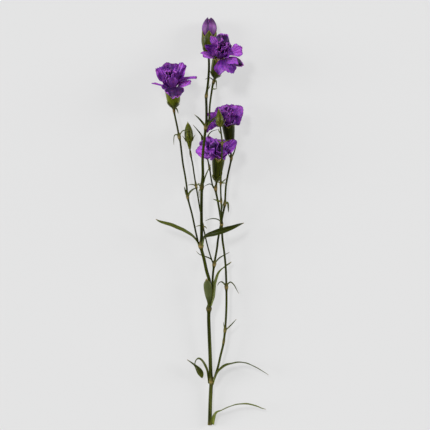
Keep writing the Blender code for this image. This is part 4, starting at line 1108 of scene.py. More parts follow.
# %% The seven long leaves
BLADES = {
    "cut_leaf": Blade(
        runs=[
            [(2.3, -214.3, 3.2, 3.6, 80), (3.0, -209.5, 4.0, 4.2, 70),
             (4.3, -205.3, 5.0, 4.5, 56), (7.0, -201.4, 6.8, 3.8, 26),
             (11.2, -199.2, 8.8, 2.8, 6), (19.1, -195.3, 10.8, 2.6, 4),
             (27.0, -192.7, 12, 3.0, 5), (34.3, -192.0, 12, 3.6, 14),
             (41.7, -192.6, 10.8, 3.6, 18), (49.6, -195.1, 8.4, 2.8, 16),
             (54.3, -197.0, 6.6, 1.9, 20), (58.5, -198.2, 5.2, 0.4, 20)],
        ],
        hand=1, tone=0.6),
    "lower_left_leaf": Blade(
        runs=[
            [(-1.5, -170.6, 5.8, 2.4, 60), (-2.3, -164.3, 6.8, 3.0, 45),
             (-3.5, -157.5, 8.4, 3.6, 35), (-5.6, -151.7, 10.6, 3.8, 38),
             (-8.7, -146.8, 12.6, 3.8, 30), (-12.1, -144.1, 13.6, 3.6, 25),
             (-14.7, -145.7, 13.0, 3.4, 5), (-15.9, -149.6, 11.0, 3.4, 3),
             (-15.2, -153.8, 7.4, 3.2, 10), (-12.7, -159.1, 4.8, 2.6, 30),
             (-10.0, -163.1, 3.8, 1.4, 50)],
            [(-8.7, -165.2, 4.2, 0.6, 78), (-9.0, -163.7, 4.8, 3.0, 78),
             (-10.2, -160.3, 6.4, 6.4, 78), (-12.3, -156.7, 8.2, 6.4, 78),
             (-14.6, -153.4, 9.4, 3.8, 75), (-16.7, -150.9, 10.0, 1.9, 70),
             (-19.9, -148.5, 9.8, 1.6, 70), (-24.5, -145.5, 9.0, 0.4, 70)],
        ],
        hand=-1, tone=0.25),
    "lower_right_leaf": Blade(
        runs=[
            [(2.8, -171.2, 6.6, 2.4, 60), (4.2, -166.4, 8.4, 3.0, 45),
             (6.5, -161.2, 9.6, 3.4, 28), (9.8, -156.2, 10.2, 4.0, 26),
             (14.9, -152.1, 11.0, 4.6, 36), (21.7, -149.8, 11.8, 4.2, 12),
             (31.2, -148.2, 12, 4.0, 5), (39.6, -149.8, 11.4, 3.4, 5),
             (49.0, -154.3, 9.2, 2.6, 8), (55.3, -158.0, 7.6, 1.9, 8),
             (61.2, -161.8, 6.0, 0.4, 10)],
        ],
        hand=1, tone=0.2),
    "short_leaf": Blade(
        runs=[
            [(-1.2, -89.2, 13.4, 3.2, -85), (-1.2, -85.6, 13.8, 4.0, -85),
             (-1.5, -81.9, 14.3, 5.2, -85), (-2.1, -77.7, 14.9, 7.2, -82),
             (-2.6, -73.0, 15.4, 8.3, -80), (-3.0, -68.8, 16.0, 8.7, -80),
             (-3.5, -65.4, 16.5, 7.8, -80), (-3.8, -63.1, 16.8, 5.0, -80),
             (-4.1, -61.5, 16.9, 2.0, -80), (-4.2, -59.9, 16.9, 0.5, -80)],
        ],
        hand=-1, tone=-0.4),
    "middle_right_leaf": Blade(
        runs=[
            [(0.5, -88.7, 12.6, 2.6, 60), (1.9, -83.0, 13.2, 3.6, 70),
             (3.2, -78.4, 13.8, 4.0, 70), (4.1, -71.9, 14.2, 3.6, 65),
             (4.8, -65.6, 14.4, 3.3, 65), (6.2, -60.0, 13.8, 3.4, 65),
             (8.3, -54.7, 12.4, 2.8, 55), (11.9, -50.3, 10.0, 2.2, 35),
             (16.0, -47.4, 8.0, 2.2, 22), (19.2, -45.0, 6.9, 2.2, 45),
             (22.2, -42.6, 6.0, 0.4, 60)],
        ],
        hand=1, tone=0.4),
    "upper_left_leaf": Blade(
        runs=[
            [(-11.7, -25.7, 17.0, 2.0, 60), (-13.0, -22.6, 16.8, 2.2, 50),
             (-14.6, -19.6, 17.0, 2.6, 45), (-17.3, -16.5, 17.8, 3.0, 45),
             (-21.1, -13.4, 19.0, 3.6, 50), (-26.8, -10.0, 21.0, 4.4, 50),
             (-35.0, -6.2, 22.6, 4.8, 50), (-43.2, -3.0, 22.8, 4.6, 50),
             (-50.7, -0.9, 21.8, 3.4, 50), (-54.4, 0.7, 20.8, 2.2, 50),
             (-57.0, 2.5, 20.2, 0.4, 50)],
        ],
        hand=-1, tone=0.3),
    "upper_right_leaf": Blade(
        runs=[
            [(-8.5, -25.7, 18.6, 1.8, 60), (-7.6, -22.2, 19.2, 2.0, 60),
             (-7.2, -19.0, 19.8, 2.2, 60), (-6.0, -16.3, 20.6, 3.0, 65),
             (-2.2, -14.3, 21.6, 4.6, 70), (3.0, -12.7, 22.5, 6.0, 75),
             (9.1, -10.7, 22.8, 6.6, 80), (15.4, -8.8, 22.4, 6.0, 80),
             (22.3, -6.5, 21.0, 4.6, 80), (28.6, -4.0, 18.6, 3.0, 80),
             (32.4, -2.5, 16.6, 1.6, 80), (35.3, -1.5, 15.4, 0.4, 80)],
        ],
        hand=1, tone=0.0),
}
runs = [run for blade in BLADES.values() for run in blade.runs]
print("long leaves:", len(BLADES), "with stations:", sum(len(run) for run in runs))

# %% A channelled blade
CHANNEL = 0.16  # rise of a blade's edges above its midrib, as a share of its width
CHANNEL_BEND = 1.4  # above 1 the blade is flatter at its midrib
WAVE = 0.03  # the edges' slight wave, as a share of the width
WAVE_PACE = 0.55  # radians of the wave to a millimetre, so one wave is 11 mm long
BLADE_COLUMNS = 9
DRY_TIP, SMALL_DRY_TIP = 2.5, 1.2  # length of the tan tip, of long leaves and of small ones
SMALL_LEAF = 15.0  # leaves shorter than this are small
PALE_FOOT = 9.0  # length over which the foot pales


def blade_sheet(skin, path, widths, faces, thickness, tone):
    """Adds a channelled blade along a path to a skin. faces are the ways its upper side looks."""
    length = along(path)
    tip = DRY_TIP if length[-1] > SMALL_LEAF else SMALL_DRY_TIP
    grid, marks, tones = [], [], []
    for point, forward, distance, width, face in zip(path, tangents(path), length, widths, faces):
        side = forward.cross(face).normalized()
        up = side.cross(forward)
        row = []
        for j in range(BLADE_COLUMNS):
            t = 2 * j / (BLADE_COLUMNS - 1) - 1
            wave = WAVE * width * math.sin(distance * WAVE_PACE) * t * t
            lift = CHANNEL * width * abs(t) ** CHANNEL_BEND + wave
            row.append(point + side * t * width / 2 + up * lift)
        grid.append(row)
        marks.append([0.6 * ease(1 - (length[-1] - distance) / tip)] * BLADE_COLUMNS)
        tones.append(min(1.0, tone + 0.6 * ease(1 - distance / PALE_FOOT)))
    skin.sheet(grid, thickness, marks, tone=tones)


print("one wave of a leaf's edge, mm:", round(2 * math.pi / WAVE_PACE, 1))

# %% Blades that twist
BLADE_STEP = 1.2  # mm between a blade's rows
BLADE_THICKNESS = 0.6
WIDTH_COLUMN, TILT_COLUMN = 3, 4
BLUR = (-0.4, 0.0, 0.4)  # a width or tilt is averaged over these parts of a station


def station_value(stations, at, column):
    """A station's width or tilt at a place between two stations, softened over the next ones."""
    values = []
    for off in BLUR:
        place = min(len(stations) - 1.0, max(0.0, at + off))
        low = min(len(stations) - 2, int(place))
        start, end = stations[low][column], stations[low + 1][column]
        values.append(start + (end - start) * (place - low))
    return sum(values) / len(values)


def twisted_blade(skin, stations, hand, tone):
    """One run of a long leaf: its width and tilt change from station to station."""
    places = [Vector(station[:3]) for station in stations]
    path = smooth_route(places, BLADE_STEP)
    stops = []
    for k, (start, end) in enumerate(zip(places, places[1:])):
        steps = max(1, round((end - start).length / BLADE_STEP))
        stops += [k + i / steps for i in range(steps)]
    stops.append(len(places) - 1)
    widths, faces = [], []
    for at, forward in zip(stops, tangents(path)):
        tilt = math.radians(station_value(stations, at, TILT_COLUMN))
        level = Vector((-forward.y, forward.x, 0)).normalized() * hand
        widths.append(station_value(stations, at, WIDTH_COLUMN))
        faces.append(level * math.cos(tilt) + Vector((0, 0, math.sin(tilt))))
    blade_sheet(skin, path, widths, faces, BLADE_THICKNESS, tone)


for node, blade in BLADES.items():
    skin = Skin()
    for stations in blade.runs:
        twisted_blade(skin, stations, blade.hand, blade.tone)
    finished = finish_piece(skin, node + "_blade", leaf_finish)
    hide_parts(node)
    print(finished.name, len(finished.data.polygons), "faces")

# %% [markdown]
# ## Small leaves
# At the upper joints the leaves are only bracts, a few millimetres long, that clasp the joint and
# curl away. They are the same channelled sheet, but plain enough to follow one rule: wide near the
# foot and drawn to a point. All those of one stalk are one piece, as they grow from it.

# %% Leaflets at the joints
LEAFLET_REACH = 7.0  # a small leaf's foot lies this near to its joint
LEAFLET_STEP = 1.0
LEAFLET_THICKNESS = 0.5
LEAFLET_TONE = 0.1
BROAD = 2.0  # leaflets wider than this keep more of their width
TIP_WIDTH = 0.25
TAPER = 2.4  # above 1 the leaflet keeps its width for longer
all_joints = [joint for stalk in STALKS.values() for joint in stalk.joints]


def add_leaflet(skin, leaf):
    """Adds a small leaf of a stalk to a skin, rooted in its joint."""
    foot = Vector(leaf.route[0])
    joint = nearest_joint(foot, all_joints)
    stands_off = 0.2 < (joint - foot).length < LEAFLET_REACH
    path = smooth_route(([joint] if stands_off else []) + list(leaf.route), LEAFLET_STEP)
    length = along(path)
    widest = leaf.width * (0.95 if leaf.width > BROAD else 0.8)
    widths, faces = [], []
    for distance in length:
        share = distance / length[-1]
        widths.append(widest * min(1.0, 0.6 + 1.4 * share) * (1 - share**TAPER) + TIP_WIDTH)
        faces.append(Vector(leaf.face).lerp(Vector(leaf.tip_face), min(1.0, share * 1.6)))
    blade_sheet(skin, path, widths, faces, LEAFLET_THICKNESS, LEAFLET_TONE)


for node, stalk in STALKS.items():
    skin = Skin()
    for leaf in stalk.leaflets:
        add_leaflet(skin, leaf)
    leaflets = finish_piece(skin, node + "_leaflets", leaf_finish)
    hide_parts(node)
    print(leaflets.name, len(stalk.leaflets), "leaves")

# %% [markdown]
# ## Calyces
# The calyx is a green tube of five sepals that have grown together. It ends in five teeth, holds
# the petals' claws, and has short scales clasping its foot. A profile spun into a tube would end
# in a level rim. Here each column of the tube has its own height, so the same grid of points
# rises into the teeth, then turns inwards for the thickness of the wall.

# %% The heads' places and profiles
SEAT = 0.35  # a head starts this far above the end of its stalk


class Bloom(NamedTuple):
    """A flower head: the foot of its calyx, the way it faces, its calyx's profile and teeth.

    The profile gives (height, radius) up to the notches between the teeth. tooth is how far the
    teeth rise above them. tone is how light the calyx is, from -1 for deep green to 1.
    """

    foot: tuple
    axis: tuple
    calyx: list
    tooth: float
    tone: float = 0.0


SHORT_CALYX = [(0, 2.0), (2.0, 3.6), (5.5, 5.4), (11.0, 6.5), (18.0, 6.9), (22.0, 7.1)]
LONG_CALYX = [(0, 2.0), (2.0, 3.2), (7.0, 4.6), (14.0, 5.6), (21.0, 6.4), (25.0, 6.7)]
FLARED_CALYX = [(0, 2.2), (2.0, 3.6), (5.0, 5.7), (8.5, 7.0), (14.0, 7.6), (19.0, 8.4)]
BUD_CALYX = [(0, 2.2), (2.0, 3.8), (8.0, 6.3), (13.0, 7.8), (17.0, 8.3), (20.0, 8.0)]
BLOOMS = {
    "left_bloom": Bloom(LEFT_BLOOM_FOOT, (-0.05, 0.94, 0.34), FLARED_CALYX, 3.0, tone=0.9),
    "top_bloom": Bloom(TOP_BLOOM_FOOT, (0.2, 0.82, 0.53), SHORT_CALYX, 2.6),
    "upper_right_bloom": Bloom(
        UPPER_RIGHT_BLOOM_FOOT, (-0.09, 0.935, 0.34), LONG_CALYX, 4.2, tone=-0.9),
    "lower_bloom": Bloom(LOWER_BLOOM_FOOT, (0.08, 0.91, 0.405), LONG_CALYX, 4.2, tone=-0.5),
    "top_bud": Bloom(TOP_BUD_FOOT, (0.03, 1.0, -0.03), BUD_CALYX, 6.6, tone=0.1),
}


def head_matrix(foot, axis, height=0.0):
    """Places a head at a height above its foot. Its own +Z is its axis, and its +X its front."""
    up = Vector(axis).normalized()
    front = (Vector((0, 0, 1)) - up * up.z).normalized()
    right = up.cross(front)
    turn = Matrix((front, right, up)).transposed().to_4x4()
    return Matrix.Translation(Vector(foot) + up * (SEAT + height)) @ turn


for name, bloom in BLOOMS.items():
    lean = math.degrees(math.asin(Vector(bloom.axis).normalized().z))
    print(name, "faces up by", round(lean), "degrees")


# %% Reading a profile
BLUR_HEIGHTS = (-2.0, -1.0, 0.0, 1.0, 2.0)  # mm over which a profile is averaged


def profile_radius(profile, height):
    """The profile's radius at a height, eased from one of its points to the next."""
    for (low, low_radius), (high, high_radius) in zip(profile, profile[1:]):
        if height <= high:
            share = ease((height - low) / (high - low))
            return low_radius + (high_radius - low_radius) * share
    return profile[-1][1]


def smooth_radius(profile, height):
    """The profile's radius, averaged over a few millimetres so that no ring shows."""
    top = profile[-1][0]
    near = [profile_radius(profile, min(top, max(0.0, height + off))) for off in BLUR_HEIGHTS]
    return sum(near) / len(near)


def round_place(radius, angle, height):
    """A point at an angle round a head's own axis."""
    return Vector((radius * math.cos(angle), radius * math.sin(angle), height))


print("long calyx halfway up, mm across:", round(2 * smooth_radius(LONG_CALYX, 12.5), 1))

# %% A turned tube with teeth
TEETH = 5
TOOTH_SHARPNESS = 1.25  # 1 for straight sides, more for hollow ones
CALYX_COLUMNS = 60
CALYX_RINGS = 26
CALYX_WALL = 0.6
CALYX_SUNK = 0.5  # the tube starts this far inside the stalk's end
RIBBING = 0.012  # each sepal stands out by this share of the radius
FOOT_NARROW, FOOT_HEIGHT = 0.6, 2.5  # the tube narrows to this share of its radius, below this
LINING_DEPTHS = (0.0, 1.5, 6.0)  # rings inside the mouth
LINING_SLOPE = 0.05


def foot_share(height):
    """How much of its radius a turned body has near its foot."""
    return FOOT_NARROW + (1 - FOOT_NARROW) * ease(height / FOOT_HEIGHT)


def tooth_height(angle):
    """0 in the notch between two teeth and 1 at a tooth's point."""
    share = (angle * TEETH / (2 * math.pi)) % 1.0
    return (1 - abs(2 * share - 1)) ** TOOTH_SHARPNESS


def calyx_skin(bloom, turn):
    """A calyx's tube with its teeth and its lining. turn brings another side to the front."""
    notch = bloom.calyx[-1][0]
    rings, marks = [], []
    for i in range(CALYX_RINGS + 1):
        ring, row = [], []
        for k in range(CALYX_COLUMNS):
            angle = 2 * math.pi * k / CALYX_COLUMNS + math.pi
            top = notch + bloom.tooth * tooth_height(angle + math.radians(turn))
            height = top * (i / CALYX_RINGS)
            ribbed = 1 + RIBBING * math.cos(TEETH * angle + math.pi)
            radius = smooth_radius(bloom.calyx, height) * ribbed * foot_share(height)
            ring.append(round_place(radius, angle, height - CALYX_SUNK))
            row.append(0.7 * ease(1 - (top - height) / 1.2) + 0.45 * ease(1 - height / 3.0))
        rings.append(ring)
        marks.append(row)
    for depth in LINING_DEPTHS:
        ring = []
        for outer in rings[CALYX_RINGS]:
            inward = Vector((outer.x, outer.y, 0)).normalized()
            step = inward * (CALYX_WALL + LINING_SLOPE * depth)
            ring.append(Vector((outer.x, outer.y, outer.z - depth)) - step)
        rings.append(ring)
        marks.append([0.5 if depth < 1 else 0.2] * CALYX_COLUMNS)
    skin = Skin()
    skin.turned(rings, marks, bloom.tone)
    return skin


print("teeth:", TEETH, "each", CALYX_COLUMNS // TEETH, "columns wide")

# %% Scales at the foot of a head
SCALE_ROWS = 12
SCALE_COLUMNS = 9
SCALE_THICKNESS = 0.5
SCALE_GAP = 0.25  # a scale lies this far off the tube
SCALE_HOLLOW = 0.15  # and its midline as much further
TIGHTEST_WRAP = 2.2  # a scale wraps round no smaller radius than this


def add_scale(skin, profile, turn, foot, length, width, flare):
    """A pointed scale that hugs a turned body from a foot height and flares at its tip."""
    middle = math.radians(turn)
    grid, marks = [], []
    for i in range(SCALE_ROWS + 1):
        s = i / SCALE_ROWS
        height = foot + length * s
        half = width / 2 * (0.55 + 0.9 * s - 1.45 * s**2.2) + 0.12
        radius = smooth_radius(profile, height) * foot_share(height) + SCALE_GAP + flare * s**3
        row = []
        for j in range(SCALE_COLUMNS):
            t = 2 * j / (SCALE_COLUMNS - 1) - 1
            angle = middle + t * half / max(TIGHTEST_WRAP, radius)
            row.append(round_place(
                radius + SCALE_HOLLOW * (1 - t * t), angle, height - CALYX_SUNK))
        grid.append(row)
        marks.append([0.9 * ease((s - 0.8) / 0.2) + 0.25 * ease(1 - s / 0.3)] * SCALE_COLUMNS)
    skin.sheet(grid, SCALE_THICKNESS, marks)


print("points of one scale:", 2 * (SCALE_ROWS + 1) * SCALE_COLUMNS)

# %% The five calyces
TOOTH_TURN = 38.0  # brings a tooth of the top bud's calyx to the front
# Two sets of scales: their turns round the tube, foot height, length, width and flare
CALYX_SCALES = [((35, 125, 215, 305), 0.6, 8.6, 7.5, 1.3), ((80, 260), -0.6, 5.6, 5.0, 1.0)]

for name, bloom in BLOOMS.items():
    skin = calyx_skin(bloom, TOOTH_TURN if name == "top_bud" else 0)
    for turns, foot, length, width, flare in CALYX_SCALES:
        for turn in turns:
            add_scale(skin, bloom.calyx, turn, foot, length, width, flare)
    tube = finish_piece(
        skin, name + "_calyx_tube", calyx_finish, head_matrix(bloom.foot, bloom.axis))
    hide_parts(name + "_calyx")
    print(tube.name, len(tube.data.polygons), "faces")

# %% [markdown]
# ## Petals
# Each petal has a narrow claw that rises out of the calyx and a broad blade with a toothed edge.
# The blade leans, rolls and ruffles, more towards its edge. Petals could be cloth that is left to
# settle, but nobody could then say where each one lies. So each is a row of numbers: where it
# stands round the bloom, how it leans and how it bends. The fringe is cut by drawing the edge
# back between its teeth. The large petals keep the solid model's order, and a few small ones fill
# the throat, drawn dark as painted shade.

# %% What a petal is
class Petal(NamedTuple):
    """A petal, in degrees and millimetres.

    turn: direction round the bloom, 0 to the front and 90 to the right
    lean: angle of the blade from the bloom's axis
    reach: length from the throat to the frilled edge
    width: across the widest part of the blade
    roll: turn of the blade about its own midline
    curl: further bend towards the edge
    cup: how much the sides rise, in degrees per mm of width
    root, rise: where its claw starts, from the bloom's axis and above the calyx's mouth
    spread: share of the reach at which it has its full width
    waist: how long it stays narrow before that: 1 for a fan, 2 for a spoon
    point: how far the corners of its edge fall back, as a share of its reach
    tone: how light it is, from -1 deep violet to 1 pale magenta, partly painted light and shade
    """

    turn: float
    lean: float
    reach: float
    width: float
    roll: float = 0
    curl: float = 10
    cup: float = 2
    root: float = 2.5
    rise: float = 1.0
    spread: float = 0.7
    waist: float = 1.0
    point: float = 0.28
    tone: float = 0.0


print("a petal has", len(Petal._fields), "numbers")

# %% Petals of the left bloom
LEFT_BLOOM_PETALS = [
    Petal(10, 112, 22, 21, curl=14, cup=-1, rise=4.6, spread=0.36, point=0.5, tone=-0.9),
    Petal(266, 74, 20.5, 4.6, roll=-8, curl=0, cup=5, rise=3.0, tone=0.5),
    Petal(98, 57, 28.5, 9, roll=16, curl=54, cup=6, rise=2.4, waist=1.9, point=0.7, tone=1.0),
    Petal(90, 62, 19.5, 11, roll=34, curl=26, cup=6, tone=1.0),
    Petal(186, 83, 18, 20, curl=4, tone=-0.3),
    Petal(330, 16, 18, 20, cup=6),
    Petal(38, 12, 20, 18, cup=6, tone=0.1),
    Petal(98, 20, 30, 18, roll=50, cup=5, waist=1.7, tone=0.1),
    Petal(160, 28, 29, 22, roll=8, cup=5, tone=-0.1),
    Petal(205, 22, 29, 21, roll=-20, cup=5, tone=-0.1),
    Petal(256, 35, 27.5, 11.5, roll=-60, curl=-4, cup=5, waist=2.6, tone=0.4),
    Petal(240, 23, 27, 15, roll=-50, cup=4, waist=2.2),
    Petal(290, 40, 14, 13, roll=-80, curl=6, tone=-0.2),
    # Small petals that fill the throat, drawn dark as painted shade
    Petal(20, 10, 19, 15, roll=25, curl=6, cup=8, root=1.6, tone=-1.0),
    Petal(110, 8, 21, 16, roll=-30, curl=8, cup=7, root=1.6, tone=-1.0),
    Petal(190, 9, 22, 17, roll=30, curl=4, cup=6, root=1.6, tone=-1.0),
    Petal(262, 10, 21, 16, roll=-35, curl=6, cup=8, root=1.6, tone=-1.0),
]
print("left bloom:", len(LEFT_BLOOM_PETALS), "petals")

# %% Petals of the top bloom
TOP_BLOOM_PETALS = [
    Petal(33, 106, 24, 27, curl=5, cup=-2, rise=2.2, tone=-0.1),
    Petal(297, 72, 21.5, 9, roll=-20, curl=4, cup=3, rise=0.6, tone=0.55),
    Petal(69, 78, 20.5, 11, roll=26, curl=4, cup=3, tone=0.5),
    Petal(100, 58, 24.5, 15, roll=62, curl=-10, cup=3, rise=3.0, spread=0.85, waist=2.6,
          point=0.12, tone=1.0),
    Petal(105, 107, 26, 10, roll=50, curl=4, tone=-1.0),
    Petal(282, 40, 21.8, 12.5, roll=-72, curl=58, cup=3, spread=0.55, point=0.5),
    Petal(260, 25, 23.5, 9, roll=-44, curl=28, cup=9, rise=3.0, waist=1.8, point=0.1, tone=0.3),
    Petal(186, 36, 27.5, 17, roll=-8, cup=4, waist=1.3, tone=-0.9),
    Petal(156, 46, 19.5, 14, roll=22, cup=4, tone=-0.3),
    Petal(350, 24, 13, 17, cup=6, tone=-0.1),
    Petal(87, 25, 17, 14, roll=60, cup=6, tone=-0.2),
    Petal(168, 80, 21, 20, curl=4, tone=-0.6),
    # Small petals that fill the throat, drawn dark as painted shade
    Petal(20, 14, 16, 14, roll=30, curl=10, cup=8, root=1.6, tone=-0.8),
    Petal(120, 10, 20, 15, roll=-40, curl=8, cup=7, root=1.6, tone=-0.8),
    Petal(210, 9, 22, 16, roll=35, curl=4, cup=6, root=1.6, tone=-0.8),
    Petal(290, 12, 20, 15, roll=-40, curl=6, cup=8, root=1.6, tone=-0.8),
    Petal(70, 8, 17, 12, roll=55, curl=10, cup=9, root=1.0, tone=-0.8),
]
print("top bloom:", len(TOP_BLOOM_PETALS), "petals")

# %% Petals of the upper right bloom
UPPER_RIGHT_BLOOM_PETALS = [
    Petal(282, 68, 28, 12, roll=-40, curl=118, tone=0.0),
    Petal(272, 54, 24, 13, roll=-76, curl=0, tone=0.4),
    Petal(240, 26, 21, 18, roll=-50, curl=4, tone=-0.1),
    Petal(172, 36, 23, 22, roll=6, curl=4, cup=4),
    Petal(104, 38, 23.5, 16, roll=66, curl=4, cup=3, waist=1.3, tone=0.2),
    Petal(78, 56, 15, 13, roll=70, curl=2, tone=-0.15),
    Petal(290, 49, 17, 16, roll=-80, curl=4),
    Petal(351, 60, 10, 19, curl=4, cup=3, spread=0.45, tone=-0.2),
    Petal(176, 76, 12.5, 20, curl=2, tone=-0.5),
    Petal(20, 22, 16, 18, cup=4, tone=-0.2),
    # Small petals that fill the throat, drawn dark as painted shade
    Petal(30, 22, 17, 14, roll=30, curl=10, cup=6, root=1.6, tone=-0.8),
    Petal(120, 14, 19, 16, roll=-40, curl=8, cup=6, root=1.6, tone=-0.8),
    Petal(250, 16, 19, 16, roll=40, curl=6, cup=6, root=1.6, tone=-0.8),
    Petal(185, 8, 20, 14, roll=-50, curl=6, cup=8, root=1.0, tone=-0.8),
]
print("upper right bloom:", len(UPPER_RIGHT_BLOOM_PETALS), "petals")

# %% Petals of the lower bloom
LOWER_BLOOM_PETALS = [
    Petal(256, 77, 24.3, 14, roll=-64, curl=2, tone=1.0),
    Petal(258, 84, 15.5, 11, roll=-60, curl=4, rise=2.2, tone=0.3),
    Petal(244, 60, 25.5, 13, roll=-56, curl=0, tone=-0.4),
    Petal(236, 40, 25, 13, roll=-50, curl=4, cup=4, tone=-0.1),
    Petal(177, 40, 21.5, 20, curl=4, tone=0.3),
    Petal(108, 38, 25.5, 17, roll=56, curl=8, cup=8, tone=0.2),
    Petal(60, 42, 13, 13, roll=60, curl=4, tone=0.1),
    Petal(348, 44, 11, 20, curl=24, cup=3, spread=0.45, tone=0.3),
    Petal(182, 80, 15, 17, curl=4, tone=-0.6),
    Petal(304, 52, 13, 14, roll=-66, curl=44, rise=2.4, tone=0.3),
    # Small petals that fill the throat, drawn dark as painted shade
    Petal(120, 30, 17, 14, roll=30, curl=8, cup=5, root=1.6, tone=-0.8),
    Petal(235, 30, 18, 14, roll=-30, curl=8, cup=5, root=1.6, tone=-0.8),
    Petal(180, 16, 17, 14, roll=40, curl=6, cup=7, root=1.2, tone=-0.8),
    Petal(10, 26, 11, 11, roll=-40, curl=8, cup=7, root=1.2, tone=-0.8),
]
print("lower bloom:", len(LOWER_BLOOM_PETALS), "petals")

# %% All the petals
PETALS = {
    "left_bloom": LEFT_BLOOM_PETALS,
    "top_bloom": TOP_BLOOM_PETALS,
    "upper_right_bloom": UPPER_RIGHT_BLOOM_PETALS,
    "lower_bloom": LOWER_BLOOM_PETALS,
}
print("petals in all:", sum(len(petals) for petals in PETALS.values()))

# %% A petal's midline
CLAW_LEAN = 12.0  # degrees that every claw leans before its blade does
BLADE_FROM = 0.26  # share of the reach at which the blade has taken its own lean
CURL_FROM = 0.3
OUTER_SHIFT = 2.2  # petals that lean far out start this much nearer the calyx's rim
MIDLINE_STEPS = 60
UPWARD = Vector((0, 0, 1))


def petal_midline(petal, outward):
    """Points and leans along the middle of a petal, from its root to its edge."""
    outer = OUTER_SHIFT * ease((petal.lean - 40) / 40)
    midline, leans = [outward * (petal.root + outer) + UPWARD * (petal.rise - outer)], []
    for k in range(MIDLINE_STEPS + 1):
        s = k / MIDLINE_STEPS
        lean = CLAW_LEAN + (petal.lean - CLAW_LEAN) * ease(s / BLADE_FROM)
        lean += petal.curl * max(0.0, s - CURL_FROM) / (1 - CURL_FROM)
        leans.append(math.radians(lean))
        way = outward * math.sin(leans[-1]) + UPWARD * math.cos(leans[-1])
        midline.append(midline[-1] + way * petal.reach / MIDLINE_STEPS)
    return midline, leans


longest = max((petal for petals in PETALS.values() for petal in petals), key=lambda p: p.reach)
print("longest petal, mm:", longest.reach)

# %% A petal's edge
TOOTH_PITCH = 2.0  # mm from one tooth of the fringe to the next
TOOTH_DEPTH = 0.9
FULL_TURN = 6.3  # radians, a little over a turn


class Edge:
    """One petal's own irregular edge. draw is the source of its chances."""

    def __init__(self, petal, draw):
        # Waves across the blade: their pace, their place and their height as a share of the width
        self.waves = [
            (draw.uniform(6, 9), draw.uniform(0, FULL_TURN), 0.06),
            (draw.uniform(12, 17), draw.uniform(0, FULL_TURN), 0.035)]
        self.lobe_place, self.lobe_depth = draw.uniform(0, FULL_TURN), draw.uniform(0.3, 0.9)
        self.teeth = max(4, round(petal.width / TOOTH_PITCH))
        self.cuts = [draw.uniform(0.4, 1.0) * TOOTH_DEPTH for _ in range(self.teeth + 2)]

    def cut(self, t):
        """How many mm the edge falls short at t, from -1 at the left side to 1 at the right."""
        place = (t + 1) / 2 * self.teeth
        off = min(1.0, 2.4 * abs(place - round(place)))
        lobe = self.lobe_depth * (1 + math.sin(5 * t + self.lobe_place))
        return self.cuts[round(place)] * (1 - off) ** 1.3 + lobe


print("teeth of the longest petal:", max(4, round(longest.width / TOOTH_PITCH)))

# %% A petal's surface
PETAL_ROWS = 26
PETAL_COLUMNS = 44
CLAW_SHARE = 0.2  # width of the claw as a share of the blade's
RUFFLE = 0.09  # height of the main ruffle as a share of the width
MOUTH_DEPTH = 4.0  # the claw's foot lies this far below the calyx's mouth
CLAW_ROWS = 3
MOST_POINT = 0.42  # the corners fall back no further than this share of the reach
PLAIN_POINT = 0.28  # beyond this the blade also narrows to its edge
FLAT = 1e-4  # the least cup, so that nothing is divided by zero


def petal_grid(petal, draw):
    """The petal's middle surface, from its claw to its fringed edge."""
    turn, cup = math.radians(petal.turn), math.radians(petal.cup)
    cup = cup if abs(cup) > FLAT else FLAT
    outward = Vector((math.cos(turn), math.sin(turn), 0))
    sideways = Vector((-math.sin(turn), math.cos(turn), 0))
    midline, leans = petal_midline(petal, outward)
    edge = Edge(petal, draw)
    corner = min(MOST_POINT, petal.point)
    taper = 0.08 + 0.9 * max(0.0, petal.point - PLAIN_POINT)
    ruffle_place = math.radians(petal.turn * 3.7)
    grid = []
    for i in range(PETAL_ROWS + 1):
        s = i / PETAL_ROWS
        roll = math.radians(petal.roll) * ease(s / 0.5)
        fan = ease(s / petal.spread) ** petal.waist
        half = petal.width / 2 * (CLAW_SHARE + (1 - CLAW_SHARE) * fan) * (1 - taper * s**4)
        row = []
        for j in range(PETAL_COLUMNS + 1):
            t = 2 * j / PETAL_COLUMNS - 1
            across = t * half
            short = edge.cut(t) / petal.reach
            reach = s * (1 - corner * s * t * t) - short * ease((s - 0.7) / 0.3)
            k = max(0.0, reach) * MIDLINE_STEPS
            low = min(MIDLINE_STEPS - 1, int(k))
            centre = midline[low].lerp(midline[low + 1], k - low)
            lean = leans[low] + (leans[low + 1] - leans[low]) * (k - low)
            normal = UPWARD * math.sin(lean) - outward * math.cos(lean)
            side_step = math.sin(across * cup) / cup
            lift = (1 - math.cos(across * cup)) / cup
            lift += petal.width * RUFFLE * s**2 * math.sin(t * 4.6 + ruffle_place)
            for pace, phase, height in edge.waves:
                lift += petal.width * height * s**1.8 * math.sin(t * pace + phase)
            rolled_side = sideways * math.cos(roll) + normal * math.sin(roll)
            rolled_normal = normal * math.cos(roll) - sideways * math.sin(roll)
            row.append(centre + rolled_side * side_step + rolled_normal * lift)
        grid.append(row)
    depth = UPWARD * (petal.rise + MOUTH_DEPTH)
    claw = [[point - depth * (1 - i / CLAW_ROWS) for point in grid[0]] for i in range(CLAW_ROWS)]
    return claw + grid


print("points of one petal:", 2 * (PETAL_ROWS + 1 + CLAW_ROWS) * (PETAL_COLUMNS + 1))

# %% The four open heads
PETAL_THICKNESS = 0.34

for name, petals in PETALS.items():
    bloom = BLOOMS[name]
    draw = random.Random(name)
    skin = Skin()
    for petal in petals:
        skin.sheet(petal_grid(petal, draw), PETAL_THICKNESS, back_first=True, tone=petal.tone)
    mouth = head_matrix(bloom.foot, bloom.axis, bloom.calyx[-1][0])
    head = finish_piece(skin, name + "_head", petal_finish, mouth)
    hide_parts(name + "_petals")
    print(head.name, len(petals), "petals,", len(head.data.polygons), "faces")
